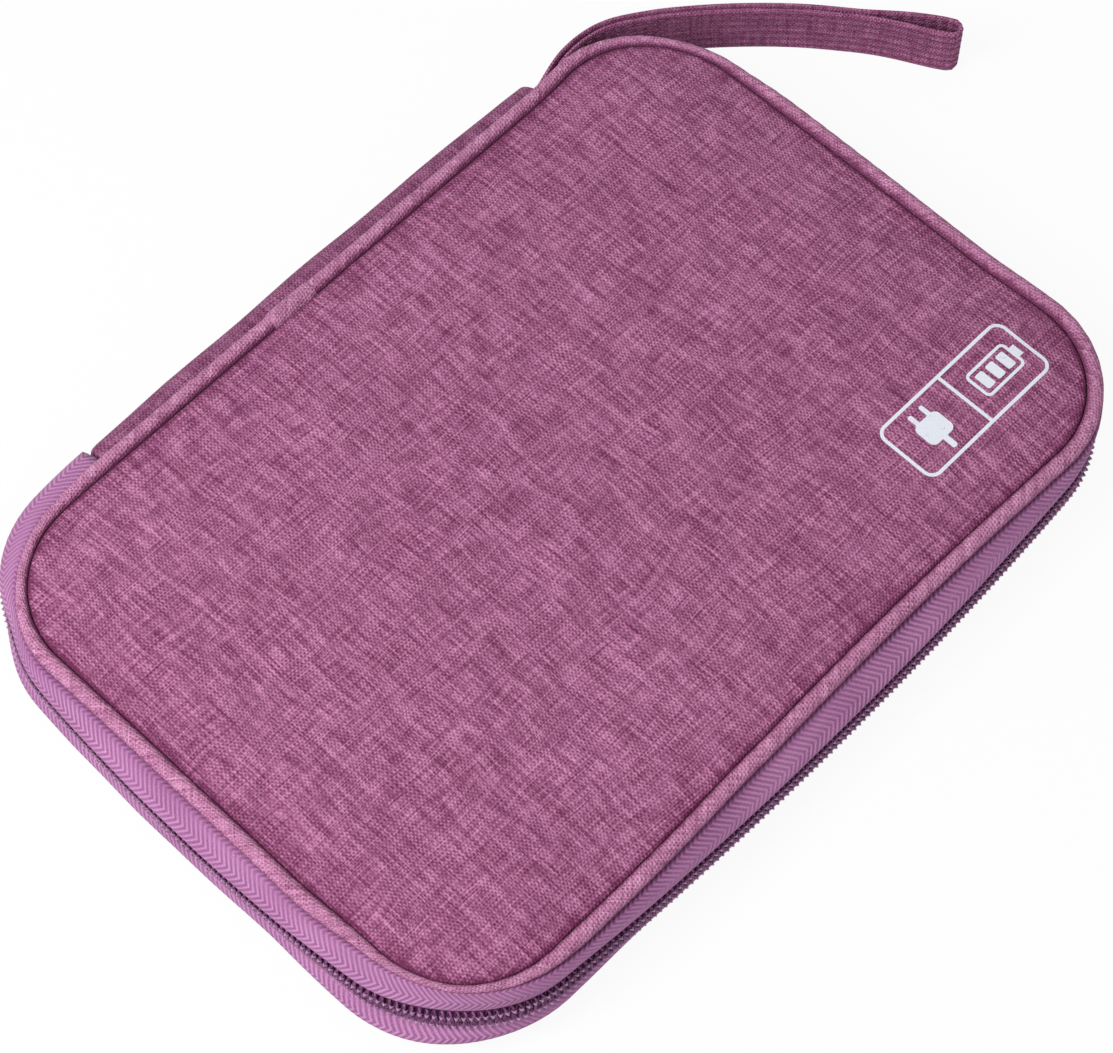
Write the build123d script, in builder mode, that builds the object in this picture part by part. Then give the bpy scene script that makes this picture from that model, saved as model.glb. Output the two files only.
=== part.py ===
"""Cable organizer pouch: a flat zip-round case that opens like a book.

Lengths are in millimetres. The case lies closed on its base: +Z is up, +X runs along the
long sides, the spine is on the +Y side and the long opening side is on -Y. The origin is
the centre of the base's flat outer face.
"""

import math
import os

from build123d import *

# ---- Driving sizes --------------------------------------------------------------------
panel_length = 230.0  # the cover panels, measured between their piping seams
panel_width = 160.0
panel_corner = 28.0
case_height = 25.0

panel_thickness = 0.8
foam_thickness = 2.6
lining_thickness = 0.6
foam_inset = 0.5  # foam and lining stop short of the piping seam

piping_radius = 2.1
piping_cord_radius = 1.5
piping_cord_play = 0.05
piping_seam_gap = 0.1  # between the panel's edge and the piping
piping_drop = 2.3  # from the case's outer face to the piping's centreline
overlap_radius = 2.6  # the doubled cover where the lid piping's ends meet
overlap_length = 14.0
overlap_x = -10.0

wall_inner = 0.9  # the side wall's faces, outward from the piping's centreline
wall_outer = 2.0
wall_seam_gap = 0.15  # between the wall's edge and the piping

coil_inner = 0.3  # the zip coils' faces, outward from the piping's centreline
coil_outer = 2.5
coil_height = 2.7
coil_gap = 1.0  # slot between the plain coil bars, where the slider's post runs

gusset_left_inset = 17.0  # from the ends of the rear side's straight run to the gusset
gusset_right_inset = 1.0
gusset_end_gap = 0.4
gusset_thickness = 0.8
spine_foam_thickness = 1.0
spine_lining_thickness = 0.6
spine_inner = 0.1
fold_clearance = 0.3  # between the spine's edges and the piping that they fold round

binding_inner = -4.5  # the inner seam binding's faces, outward from the piping's centreline
binding_outer = -2.5
binding_height = 3.5

# Zipped mesh pocket on the lid's lining
pocket_side_margin = 12.0  # from the panel's ends to the pocket
pocket_end_margin = 8.0
pocket_corner = 12.0
pocket_binding_width = 6.0
net_thickness = 0.6
pocket_zip_inset = 24.0  # from the panel's rear edge to the pocket's zip
pocket_tape_width = 9.0
pocket_coil_width = 1.5
pocket_coil_gap = 0.6
pocket_coil_height = 1.5
pocket_stop_length = 2.4
pocket_stop_margin = 8.0

# Elastic bands and card pockets on the base's lining
organizer_margin = 18.0  # lining left bare round the bands and card pockets
zip_pull_room = 2.5  # bare lining beside the path of the pocket zip's pull
band_count = 3
band_width = 26.0
band_thickness = 0.9
loop_count = 5
loop_tack = 4.5  # the flat stitched stretch between two loops
loop_rise = 5.4
card_pocket_count = 3
card_pocket_width = 38.0
card_pocket_thickness = 0.7
card_pocket_spacing = 5.0
card_column_gap = 12.0  # between the bands' ends and the card pockets
card_hem_width = 5.0
card_hem_thickness = 0.5

# Printed badge on the lid panel
badge_length = 45.0
badge_width = 18.6
badge_corner = 3.2
badge_line = 0.9
badge_film = 0.12
badge_right_inset = 31.0  # from the panel's edges to the badge's centre
badge_front_inset = 25.0
glyph_corner = 0.5
plug_body = (8.0, 7.0)
plug_pin = (1.3, 3.6)
plug_lead = (1.6, 4.2)
battery_case = (14.0, 8.4)
battery_line = 0.8
battery_bar = (2.6, 4.8)
battery_bar_pitch = 3.8
battery_cap = (1.6, 3.4)

# Zip sliders: plates, crown and pull
slider_length = 11.0
slider_nose_width = 10.0
slider_tail_width = 8.8
slider_corner = 1.6
slider_plate = 0.7
slider_play = 0.25
slider_post_length = 2.6
slider_post_share = 0.6  # of the slot between the coils
slider_flange = 0.7
slider_flange_length = 7.5
crown_width = 2.4
crown_wall = 0.8
crown_length = 6.4
crown_height = 2.6
crown_round = 0.6
pull_bar = 1.0
pull_play = 0.35
pull_length = 24.0
pull_width = 5.6
pull_corner = 1.2
pull_hole_radius = 1.1
pull_hole_inset = 3.4
slider_spacing = 1.4  # between the two closed sliders' noses
pocket_slider_scale = 0.72  # the pocket's zip is a size smaller
pocket_slider_play = 0.3
pocket_pull_clearance = 0.8  # under the hanging pull of the pocket's zip

# Hand strap: a strip folded in two, standing on edge beside the case
strap_width = 16.0
strap_ply = 1.3
strap_layer_gap = 0.5
strap_lift = 0.3
strap_clearance = 0.3
strap_overlap = 3.0  # length that lies against the gusset's end
strap_end_length = 2.0  # where the two layers join at each end
# The strap's middle line from above, measured from the gusset's right end and the piping
strap_steps = [
    (9.5, 7.6),
    (21.5, 5.6),
    (32.0, -1.0),
    (42.0, -9.4),
    (51.5, -18.4),
    (60.6, -28.2),
    (68.8, -38.7),
    (76.6, -49.4),
    (83.6, -60.8),
]

# ---- Sizes that follow --------------------------------------------------------------
piping_length = panel_length + 2 * (piping_radius + piping_seam_gap)
piping_width = panel_width + 2 * (piping_radius + piping_seam_gap)
piping_corner = panel_corner + piping_radius + piping_seam_gap
mid_height = case_height / 2
base_piping_z = piping_drop
lid_piping_z = case_height - piping_drop
base_lining_top = panel_thickness + foam_thickness + lining_thickness
lid_lining_bottom = case_height - base_lining_top
fold_y = piping_width / 2

wall_reach = math.sqrt((piping_radius + wall_seam_gap) ** 2 - wall_inner**2)
base_wall_bottom = base_piping_z + wall_reach
lid_wall_top = lid_piping_z - wall_reach
base_coil_top = mid_height - coil_gap / 2
base_coil_bottom = base_coil_top - coil_height
lid_coil_bottom = mid_height + coil_gap / 2
lid_coil_top = lid_coil_bottom + coil_height

straight_half = piping_length / 2 - piping_corner
gusset_left = -straight_half + gusset_left_inset
gusset_right = straight_half - gusset_right_inset
gusset_length = gusset_right - gusset_left
gusset_x = (gusset_left + gusset_right) / 2
fold_reach = math.sqrt((overlap_radius + fold_clearance) ** 2 - spine_inner**2)
gusset_height = case_height - 2 * (base_piping_z + fold_reach)
gusset_outer = spine_inner + spine_lining_thickness + spine_foam_thickness + gusset_thickness

pocket_zip_y = panel_width / 2 - pocket_zip_inset
organizer_left = -panel_length / 2 + organizer_margin
organizer_right = panel_length / 2 - organizer_margin
organizer_front = -panel_width / 2 + organizer_margin
organizer_back = pocket_zip_y - slider_nose_width * pocket_slider_scale / 2 - zip_pull_room

os.makedirs("parts", exist_ok=True)


def save(part, name):
    """Labels a finished piece and writes it as one STEP file."""
    part.label = name
    export_step(part, f"parts/{name}.step")


def rounded_plate(outset, bottom, thickness):
    """A flat rounded rectangle with the cover panels' outline, grown by outset."""
    with BuildPart() as plate:
        with BuildSketch(Plane.XY.offset(bottom)):
            RectangleRounded(panel_length + 2 * outset, panel_width + 2 * outset, panel_corner + outset)
        extrude(amount=thickness)
    return plate.part


def rounded_wall(inner, outer, bottom, height, open_at_spine=False):
    """A wall that follows the piping; inner and outer are measured out from its centreline.

    With open_at_spine it stops at the spine's two ends, as the zip does.
    """
    with BuildPart() as wall:
        with BuildSketch(Plane.XY.offset(bottom)):
            RectangleRounded(piping_length + 2 * outer, piping_width + 2 * outer, piping_corner + outer)
            RectangleRounded(
                piping_length + 2 * inner,
                piping_width + 2 * inner,
                piping_corner + inner,
                mode=Mode.SUBTRACT,
            )
            if open_at_spine:
                with Locations((gusset_x, fold_y + outer)):
                    Rectangle(gusset_length + 2 * gusset_end_gap, 4 * outer, mode=Mode.SUBTRACT)
        extrude(amount=height)
    return wall.part


def piping_loop(z, outer_radius, inner_radius=0.0):
    """A round section swept round the whole edge of a cover at height z."""
    half_length = piping_length / 2
    half_width = piping_width / 2
    corners = [
        (-half_length, -half_width, z),
        (half_length, -half_width, z),
        (half_length, half_width, z),
        (-half_length, half_width, z),
    ]
    with BuildPart() as loop:
        with BuildLine() as path:
            FilletPolyline(*corners, radius=piping_corner, close=True)
        start = path.wires()[0]
        with BuildSketch(Plane(origin=start @ 0, z_dir=start % 0)):
            Circle(outer_radius)
            if inner_radius > 0:
                Circle(inner_radius, mode=Mode.SUBTRACT)
        sweep(path=start)
    return loop.part


# ---- Covers: outer panel, foam and lining --------------------------------------------
lid_foam_bottom = lid_lining_bottom + lining_thickness
save(rounded_plate(0, 0, panel_thickness), "base_panel")
save(rounded_plate(-foam_inset, panel_thickness, foam_thickness), "base_foam")
save(rounded_plate(-foam_inset, panel_thickness + foam_thickness, lining_thickness), "base_lining")
save(rounded_plate(0, case_height - panel_thickness, panel_thickness), "lid_panel")
save(rounded_plate(-foam_inset, lid_foam_bottom, foam_thickness), "lid_foam")
save(rounded_plate(-foam_inset, lid_lining_bottom, lining_thickness), "lid_lining")

# ---- Piping, side walls, zip coils and inner seam binding ----------------------------
cover_bore = piping_cord_radius + piping_cord_play
for side, piping_z in (("base", base_piping_z), ("lid", lid_piping_z)):
    save(piping_loop(piping_z, piping_radius, cover_bore), f"{side}_piping_cover")
    save(piping_loop(piping_z, piping_cord_radius), f"{side}_piping_cord")

# The lid piping's ends lap each other in a short doubled sleeve on the spine side.
with BuildPart() as lid_piping_overlap:
    with BuildSketch(Plane.YZ.offset(overlap_x - overlap_length / 2)):
        with Locations((fold_y, lid_piping_z)):
            Circle(overlap_radius)
            Circle(piping_radius + piping_cord_play, mode=Mode.SUBTRACT)
    extrude(amount=overlap_length)
save(lid_piping_overlap.part, "lid_piping_overlap")

tape_height = base_coil_bottom - base_wall_bottom
lid_binding_bottom = lid_lining_bottom - binding_height
save(rounded_wall(wall_inner, wall_outer, base_wall_bottom, tape_height, True), "base_zip_tape")
save(rounded_wall(wall_inner, wall_outer, lid_coil_top, tape_height, True), "lid_zip_tape")
save(rounded_wall(coil_inner, coil_outer, base_coil_bottom, coil_height, True), "base_zip_coil")
save(rounded_wall(coil_inner, coil_outer, lid_coil_bottom, coil_height, True), "lid_zip_coil")
save(rounded_wall(binding_inner, binding_outer, base_lining_top, binding_height), "base_seam_binding")
save(rounded_wall(binding_inner, binding_outer, lid_binding_bottom, binding_height), "lid_seam_binding")


# ---- Spine: lining, foam and outer gusset --------------------------------------------
def spine_layer(inner, thickness):
    """One flat layer of the spine; inner is measured out from the piping's centreline."""
    with BuildPart() as layer:
        with Locations((gusset_x, fold_y + inner + thickness / 2, mid_height)):
            Box(gusset_length, thickness, gusset_height)
    return layer.part


spine_foam_inner = spine_inner + spine_lining_thickness
save(spine_layer(spine_inner, spine_lining_thickness), "spine_lining")
save(spine_layer(spine_foam_inner, spine_foam_thickness), "spine_foam")
save(spine_layer(gusset_outer - gusset_thickness, gusset_thickness), "spine_gusset")

# ---- Elastic cable bands on the base lining ------------------------------------------
bands_right = organizer_right - card_pocket_width - card_column_gap
loop_pitch = (bands_right - organizer_left - loop_tack) / loop_count
half_span = (loop_pitch - loop_tack) / 2
organizer_depth = organizer_back - organizer_front


def elastic_band(centre_y):
    """One elastic strip, tacked flat between loops that arch off the lining."""
    foot = base_lining_top
    with BuildPart() as band:
        with BuildSketch(Plane.XZ.offset(-centre_y)):
            for i in range(loop_count):
                x = organizer_left + loop_tack / 2 + (i + 0.5) * loop_pitch
                with BuildLine():
                    ThreePointArc(
                        (x - half_span - band_thickness, foot),
                        (x, foot + loop_rise + band_thickness),
                        (x + half_span + band_thickness, foot),
                    )
                    Line((x + half_span + band_thickness, foot), (x + half_span, foot))
                    ThreePointArc((x + half_span, foot), (x, foot + loop_rise), (x - half_span, foot))
                    Line((x - half_span, foot), (x - half_span - band_thickness, foot))
                make_face()
            for i in range(loop_count + 1):
                x = organizer_left + loop_tack / 2 + i * loop_pitch
                with Locations((x, foot + band_thickness / 2)):
                    Rectangle(loop_tack, band_thickness)
        extrude(amount=band_width / 2, both=True)
    return band.part


band_pitch = (organizer_depth - band_width) / (band_count - 1)
for i in range(band_count):
    band_y = organizer_front + band_width / 2 + i * band_pitch
    save(elastic_band(band_y), f"elastic_band_{i + 1}")

# ---- Memory-card pockets beside the bands --------------------------------------------
card_pocket_x = organizer_right - card_pocket_width / 2
card_pocket_pitch = (organizer_depth + card_pocket_spacing) / card_pocket_count
card_pocket_length = card_pocket_pitch - card_pocket_spacing
for i in range(card_pocket_count):
    pocket_front = organizer_front + i * card_pocket_pitch
    with BuildPart() as card_pocket:
        with BuildSketch(Plane.XY.offset(base_lining_top)):
            with Locations((card_pocket_x, pocket_front + card_pocket_length / 2)):
                Rectangle(card_pocket_width, card_pocket_length)
        extrude(amount=card_pocket_thickness)
        with BuildSketch(Plane.XY.offset(base_lining_top + card_pocket_thickness)):
            with Locations((card_pocket_x, pocket_front + card_hem_width / 2)):
                Rectangle(card_pocket_width, card_hem_width)
        extrude(amount=card_hem_thickness)
    save(card_pocket.part, f"card_pocket_{i + 1}")

# ---- Zipped mesh pocket on the lid lining --------------------------------------------
pocket_length = panel_length - 2 * pocket_side_margin
pocket_width = panel_width - 2 * pocket_end_margin
pocket_depth = pocket_coil_height + slider_plate * pocket_slider_scale + 2 * slider_play
pocket_face = lid_lining_bottom - pocket_depth
pocket_inner_length = pocket_length - 2 * pocket_binding_width
pocket_inner_width = pocket_width - 2 * pocket_binding_width
pocket_coil_half = pocket_coil_gap / 2 + pocket_coil_width
pocket_tape_bottom = pocket_face + (pocket_coil_height - net_thickness) / 2

with BuildPart() as mesh_pocket_binding:
    with BuildSketch(Plane.XY.offset(pocket_face)):
        RectangleRounded(pocket_length, pocket_width, pocket_corner)
        RectangleRounded(
            pocket_inner_length,
            pocket_inner_width,
            pocket_corner - pocket_binding_width,
            mode=Mode.SUBTRACT,
        )
    extrude(amount=pocket_depth)
save(mesh_pocket_binding.part, "mesh_pocket_binding")


def pocket_strip(low_y, high_y, bottom, thickness):
    """A flat strip across the pocket between two heights, held within the binding's outline."""
    with BuildPart() as strip:
        with BuildSketch(Plane.XY.offset(bottom)):
            RectangleRounded(
                pocket_inner_length,
                pocket_inner_width,
                pocket_corner - pocket_binding_width,
            )
            with Locations((0, (low_y + high_y) / 2)):
                Rectangle(2 * pocket_length, high_y - low_y, mode=Mode.INTERSECT)
        extrude(amount=thickness)
    return strip.part


net_top_y = pocket_zip_y - pocket_coil_half - pocket_tape_width
save(pocket_strip(-pocket_width, net_top_y, pocket_tape_bottom, net_thickness), "mesh_pocket_net")
save(
    pocket_strip(net_top_y, pocket_zip_y - pocket_coil_half, pocket_tape_bottom, net_thickness),
    "pocket_zip_lower_tape",
)
save(
    pocket_strip(pocket_zip_y + pocket_coil_half, pocket_width, pocket_tape_bottom, net_thickness),
    "pocket_zip_upper_tape",
)

pocket_coil_length = pocket_inner_length - 2 * pocket_stop_margin
pocket_coil_centre = (pocket_coil_gap + pocket_coil_width) / 2
with BuildPart() as pocket_zip_coil:
    for row in (-1, 1):
        with Locations((0, pocket_zip_y + row * pocket_coil_centre, pocket_face + pocket_coil_height / 2)):
            Box(pocket_coil_length, pocket_coil_width, pocket_coil_height)
save(pocket_zip_coil.part, "pocket_zip_coil")

with BuildPart() as pocket_zip_stops:
    for end in (-1, 1):
        stop_x = end * (pocket_coil_length + pocket_stop_length) / 2
        with Locations((stop_x, pocket_zip_y, pocket_face + pocket_coil_height / 2)):
            Box(pocket_stop_length, 2 * pocket_coil_half, pocket_coil_height)
save(pocket_zip_stops.part, "pocket_zip_stops")

# ---- Printed badge: a frame, a divider, a plug glyph and a battery glyph --------------
badge_x = panel_length / 2 - badge_right_inset
badge_y = -panel_width / 2 + badge_front_inset
plug_x = badge_x - badge_length / 4
battery_x = badge_x + badge_length / 4
with BuildPart() as printed_badge:
    with BuildSketch(Plane.XY.offset(case_height)):
        with Locations((badge_x, badge_y)):
            RectangleRounded(badge_length, badge_width, badge_corner)
            RectangleRounded(
                badge_length - 2 * badge_line,
                badge_width - 2 * badge_line,
                badge_corner - badge_line,
                mode=Mode.SUBTRACT,
            )
            Rectangle(badge_line, badge_width - badge_line)
        # Plug: a rounded body with two pins and a short lead
        with Locations((plug_x, badge_y)):
            RectangleRounded(*plug_body, plug_body[1] / 4)
        for side in (-1, 1):
            with Locations((plug_x + side * plug_body[0] / 4, badge_y + plug_body[1] / 2 + plug_pin[1] / 3)):
                RectangleRounded(*plug_pin, glyph_corner)
        with Locations((plug_x, badge_y - plug_body[1] / 2 - plug_lead[1] / 3)):
            RectangleRounded(*plug_lead, glyph_corner)
        # Battery: an outlined cell with three charge bars and a terminal
        with Locations((battery_x, badge_y)):
            RectangleRounded(*battery_case, 2 * battery_line)
            RectangleRounded(
                battery_case[0] - 2 * battery_line,
                battery_case[1] - 2 * battery_line,
                battery_line,
                mode=Mode.SUBTRACT,
            )
        for step in (-1, 0, 1):
            with Locations((battery_x + step * battery_bar_pitch, badge_y)):
                RectangleRounded(*battery_bar, glyph_corner)
        with Locations((battery_x + (battery_case[0] + battery_cap[0]) / 2, badge_y)):
            Rectangle(*battery_cap)
    extrude(amount=badge_film)
save(printed_badge.part, "printed_badge")


# ---- Zip sliders ---------------------------------------------------------------------
class Zip:
    """One zip as its slider meets it.

    frame's origin is the slider's centre in the middle of the coils, its x the zip's run
    and its z the outward normal. The coils fill half_depth each way along z and, either
    side of the slot, reach half_width along y.
    """

    def __init__(self, frame, nose_sign, half_depth, half_width, slot, tape_depth, scale):
        self.frame = frame
        self.nose_sign = nose_sign
        self.plate_face = half_depth + slider_play
        self.flange_y = half_width + slider_play + slider_flange * scale / 2
        self.slot = slot
        self.flange_reach = self.plate_face - tape_depth - slider_play
        self.scale = scale
        self.plate_top = self.plate_face + slider_plate * scale
        self.pivot = self.plate_top + (crown_height - crown_wall) * scale / 2


def slider_plate_outline(zip_size, height):
    """The plate's outline at a height along the normal: a wide nose and a narrower tail."""
    scale = zip_size.scale
    nose_x = zip_size.nose_sign * slider_length * scale / 2
    nose_y = slider_nose_width * scale / 2
    tail_y = slider_tail_width * scale / 2
    with BuildSketch(zip_size.frame.offset(height)) as outline:
        with BuildLine():
            Polyline((-nose_x, -tail_y), (nose_x, -nose_y), (nose_x, nose_y), (-nose_x, tail_y), close=True)
        make_face()
        fillet(outline.vertices(), radius=slider_corner * scale)
    return outline.sketch


def slider_body(zip_size):
    """Two plates joined by a post at the nose, with a flange beside the coil that stays put."""
    scale = zip_size.scale
    post_length = slider_post_length * scale
    with BuildPart() as body:
        extrude(slider_plate_outline(zip_size, zip_size.plate_face), amount=slider_plate * scale)
        extrude(slider_plate_outline(zip_size, -zip_size.plate_face), amount=-slider_plate * scale)
        with BuildSketch(zip_size.frame.offset(-zip_size.plate_face)):
            with Locations((zip_size.nose_sign * (slider_length * scale - post_length) / 2, 0)):
                Rectangle(post_length, zip_size.slot * slider_post_share)
        extrude(amount=2 * zip_size.plate_face)
        with BuildSketch(zip_size.frame.offset(zip_size.plate_face)):
            with Locations((0, -zip_size.flange_y)):
                Rectangle(slider_flange_length * scale, slider_flange * scale)
        extrude(amount=-zip_size.flange_reach)
    return body.part


def slider_crown(zip_size):
    """The bridge on the outer plate that holds the pull's end bar."""
    scale = zip_size.scale
    rise = crown_height * scale
    with BuildPart() as crown:
        with BuildSketch(zip_size.frame.offset(zip_size.plate_top)):
            Rectangle(crown_length * scale, crown_width * scale)
        extrude(amount=rise)
        outward = Axis(zip_size.frame.origin, zip_size.frame.z_dir)
        fillet(crown.faces().sort_by(outward)[-1].edges(), radius=crown_round * scale)
        with BuildSketch(zip_size.frame.offset(zip_size.plate_top)):
            Rectangle((crown_length - 2 * crown_wall) * scale, 2 * crown_width * scale)
        extrude(amount=rise - crown_wall * scale, mode=Mode.SUBTRACT)
    return crown.part


def slider_pull(zip_size, length):
    """A flat pull whose end bar lies under the crown, with an eye that clears the crown's swing."""
    scale = zip_size.scale
    away = -zip_size.nose_sign
    bar = pull_bar * scale
    crown_above = zip_size.plate_top + crown_height * scale - zip_size.pivot
    eye_end = math.hypot(crown_length * scale / 2, crown_above) + pull_play
    with BuildPart() as pull:
        with BuildSketch(zip_size.frame.offset(zip_size.pivot - bar / 2)) as blade:
            with Locations((away * (length - bar) / 2, 0)):
                Rectangle(length, pull_width * scale)
            fillet(blade.vertices(), radius=pull_corner * scale)
            with Locations((away * (eye_end + bar / 2) / 2, 0)):
                Rectangle(eye_end - bar / 2, crown_width * scale + 2 * pull_play, mode=Mode.SUBTRACT)
            with Locations((away * (length - bar / 2 - pull_hole_inset * scale), 0)):
                Circle(pull_hole_radius * scale, mode=Mode.SUBTRACT)
        extrude(amount=bar)
    return pull.part


coil_middle = (coil_inner + coil_outer) / 2
slider_rest_y = (slider_length + slider_spacing) / 2
for name, nose_sign in (("a", -1), ("b", 1)):
    main_zip = Zip(
        frame=Plane(
            origin=(piping_length / 2 + coil_middle, -nose_sign * slider_rest_y, mid_height),
            x_dir=(0, 1, 0),
            z_dir=(1, 0, 0),
        ),
        nose_sign=nose_sign,
        half_depth=(coil_outer - coil_inner) / 2,
        half_width=coil_gap / 2 + coil_height,
        slot=coil_gap,
        tape_depth=wall_outer - coil_middle,
        scale=1.0,
    )
    save(slider_body(main_zip), f"slider_{name}_body")
    save(slider_crown(main_zip), f"slider_{name}_crown")
    save(slider_pull(main_zip, pull_length), f"slider_{name}_pull")

# The pocket's slider rests closed against the right-hand stop.
pocket_slider_x = (pocket_coil_length - slider_length * pocket_slider_scale) / 2 - pocket_slider_play
pocket_zip = Zip(
    frame=Plane(
        origin=(pocket_slider_x, pocket_zip_y, pocket_face + pocket_coil_height / 2),
        x_dir=(1, 0, 0),
        z_dir=(0, 0, -1),
    ),
    nose_sign=1,
    half_depth=pocket_coil_height / 2,
    half_width=pocket_coil_half,
    slot=pocket_coil_gap,
    tape_depth=net_thickness / 2,
    scale=pocket_slider_scale,
)
pocket_pivot_z = pocket_face + pocket_coil_height / 2 - pocket_zip.pivot
pocket_pull_length = pocket_pivot_z - base_lining_top - pocket_pull_clearance
save(slider_body(pocket_zip), "pocket_slider_body")
save(slider_crown(pocket_zip), "pocket_slider_crown")
save(slider_pull(pocket_zip, pocket_pull_length), "pocket_slider_pull")

# ---- Hand strap ----------------------------------------------------------------------
strap_half = strap_ply + strap_layer_gap / 2
strap_root_y = gusset_outer + strap_clearance + strap_half
strap_route = [(gusset_right - strap_overlap, fold_y + strap_root_y)]
strap_route += [(gusset_right + x, fold_y + y) for x, y in strap_steps]


def bend_radii(points):
    """For each inner point, an arc that leaves a tenth of the shorter run straight at its ends."""
    radii = []
    for before, here, after in zip(points, points[1:], points[2:]):
        run_in = Vector(*here) - Vector(*before)
        run_out = Vector(*after) - Vector(*here)
        half_turn = math.radians(run_in.get_angle(run_out)) / 2
        radii.append(0.45 * min(run_in.length, run_out.length) / math.tan(half_turn))
    return radii


with BuildPart() as hand_strap:
    with BuildSketch(Plane.XY.offset(strap_lift)):
        with BuildLine() as strap_line:
            FilletPolyline(*strap_route, radius=bend_radii(strap_route))
        strap_path = strap_line.wires()[0]
        trace(strap_path, line_width=2 * strap_half)
        with Locations(strap_path @ 1):
            Circle(strap_half)
        join_share = strap_end_length / strap_path.length
        trace(
            strap_path.trim(join_share, 1 - join_share),
            line_width=strap_layer_gap,
            mode=Mode.SUBTRACT,
        )
    extrude(amount=strap_width)
save(hand_strap.part, "hand_strap")
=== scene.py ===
"""Cable organizer pouch: the finished looks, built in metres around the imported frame.

The frame holds the sizes. The pouch lies closed on its base, +Z up, with its spine on +Y
and the hand strap at the spine's +X end.
"""

import logging
import math
from dataclasses import dataclass
from enum import Enum
from typing import Callable, Optional, Sequence, Union

import bmesh
import bpy
import numpy as np
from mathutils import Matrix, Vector
from mathutils.bvhtree import BVHTree
from mathutils.geometry import delaunay_2d_cdt


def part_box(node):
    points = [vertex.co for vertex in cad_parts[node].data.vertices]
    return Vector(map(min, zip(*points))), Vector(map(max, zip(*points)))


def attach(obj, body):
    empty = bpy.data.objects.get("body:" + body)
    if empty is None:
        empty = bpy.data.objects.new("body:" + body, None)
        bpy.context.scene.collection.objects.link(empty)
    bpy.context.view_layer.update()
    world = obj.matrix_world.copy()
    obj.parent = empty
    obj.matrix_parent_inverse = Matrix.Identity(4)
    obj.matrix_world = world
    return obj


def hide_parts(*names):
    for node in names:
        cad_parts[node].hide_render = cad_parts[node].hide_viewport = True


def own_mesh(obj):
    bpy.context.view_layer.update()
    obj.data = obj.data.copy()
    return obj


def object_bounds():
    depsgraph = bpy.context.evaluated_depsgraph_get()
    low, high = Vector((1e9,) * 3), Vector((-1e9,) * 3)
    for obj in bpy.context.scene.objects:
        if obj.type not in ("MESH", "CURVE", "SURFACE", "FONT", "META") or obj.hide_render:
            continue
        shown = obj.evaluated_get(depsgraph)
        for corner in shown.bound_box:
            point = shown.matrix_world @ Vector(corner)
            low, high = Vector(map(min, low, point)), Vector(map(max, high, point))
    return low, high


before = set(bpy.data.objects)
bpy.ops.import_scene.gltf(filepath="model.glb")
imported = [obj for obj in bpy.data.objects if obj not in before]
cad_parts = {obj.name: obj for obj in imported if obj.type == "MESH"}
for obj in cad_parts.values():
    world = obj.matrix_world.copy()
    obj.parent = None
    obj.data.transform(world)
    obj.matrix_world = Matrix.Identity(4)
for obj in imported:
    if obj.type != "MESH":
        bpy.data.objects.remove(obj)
CAD_LOW, CAD_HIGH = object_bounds()
MM = 0.001
NARROWEST_SHEET = 10.1 * MM  # a little over the least flat width that a sheet may declare
SEAM_ALLOWANCE = 2.6 * MM  # the width of a tape that its seam hides
# The point layer of painted shade: how much each point's cloth is darkened for the shade in a seam's groove,
# from 0 to 1.
PAINTED_SHADE_LAYER = "seam_depth"
LOG = logging.getLogger("pouch")

Array = np.ndarray
Colour = tuple[float, float, float]
ShaderInput = Union["Value", float, int, Sequence[float]]


def paint(red: int, green: int, blue: int) -> Colour:
    """A screen colour, 0 to 255, as the linear colour that a shader takes.

    Args:
        red: Red part.
        green: Green part.
        blue: Blue part.

    Returns:
        The linear red, green and blue.
    """
    parts = [part / 255 for part in (red, green, blue)]
    linear = [part / 12.92 if part <= 0.04045 else ((part + 0.055) / 1.055) ** 2.4 for part in parts]
    return (linear[0], linear[1], linear[2])


# ---- Shader maths ---------------------------------------------------------------------
class Value:
    """A shader socket that takes part in Python arithmetic."""

    def __init__(self, graph: "Graph", socket: bpy.types.NodeSocket) -> None:
        """Keeps the graph and the socket."""
        self.graph = graph
        self.socket = socket

    def math(self, operation: str, *values: ShaderInput) -> "Value":
        """A Math node on the given values.

        Args:
            operation: The Math node's operation.
            values: Its inputs, in order.

        Returns:
            The node's result.
        """
        made = self.graph.node("ShaderNodeMath", {"operation": operation}, dict(enumerate(values)))
        return Value(self.graph, made.outputs[0])

    def __add__(self, other: ShaderInput) -> "Value":
        """self + other."""
        return self.math("ADD", self, other)

    def __radd__(self, other: ShaderInput) -> "Value":
        """other + self."""
        return self.math("ADD", other, self)

    def __sub__(self, other: ShaderInput) -> "Value":
        """self - other."""
        return self.math("SUBTRACT", self, other)

    def __rsub__(self, other: ShaderInput) -> "Value":
        """other - self."""
        return self.math("SUBTRACT", other, self)

    def __mul__(self, other: ShaderInput) -> "Value":
        """self * other."""
        return self.math("MULTIPLY", self, other)

    def __rmul__(self, other: ShaderInput) -> "Value":
        """other * self."""
        return self.math("MULTIPLY", other, self)

    def __truediv__(self, other: ShaderInput) -> "Value":
        """self / other."""
        return self.math("DIVIDE", self, other)

    def __rtruediv__(self, other: ShaderInput) -> "Value":
        """other / self."""
        return self.math("DIVIDE", other, self)

    def wave(self) -> "Value":
        """A wave from -1 to 1 that repeats every 1."""
        return self.math("SINE", self * (2 * math.pi))

    def fraction(self) -> "Value":
        """What is left above the whole number."""
        return self.math("FRACT", self)

    def size(self) -> "Value":
        """The value without its sign."""
        return self.math("ABSOLUTE", self)

    def above(self, edge: ShaderInput) -> "Value":
        """1 where the value is over edge, and 0 elsewhere."""
        return self.math("GREATER_THAN", self, edge)


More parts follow.
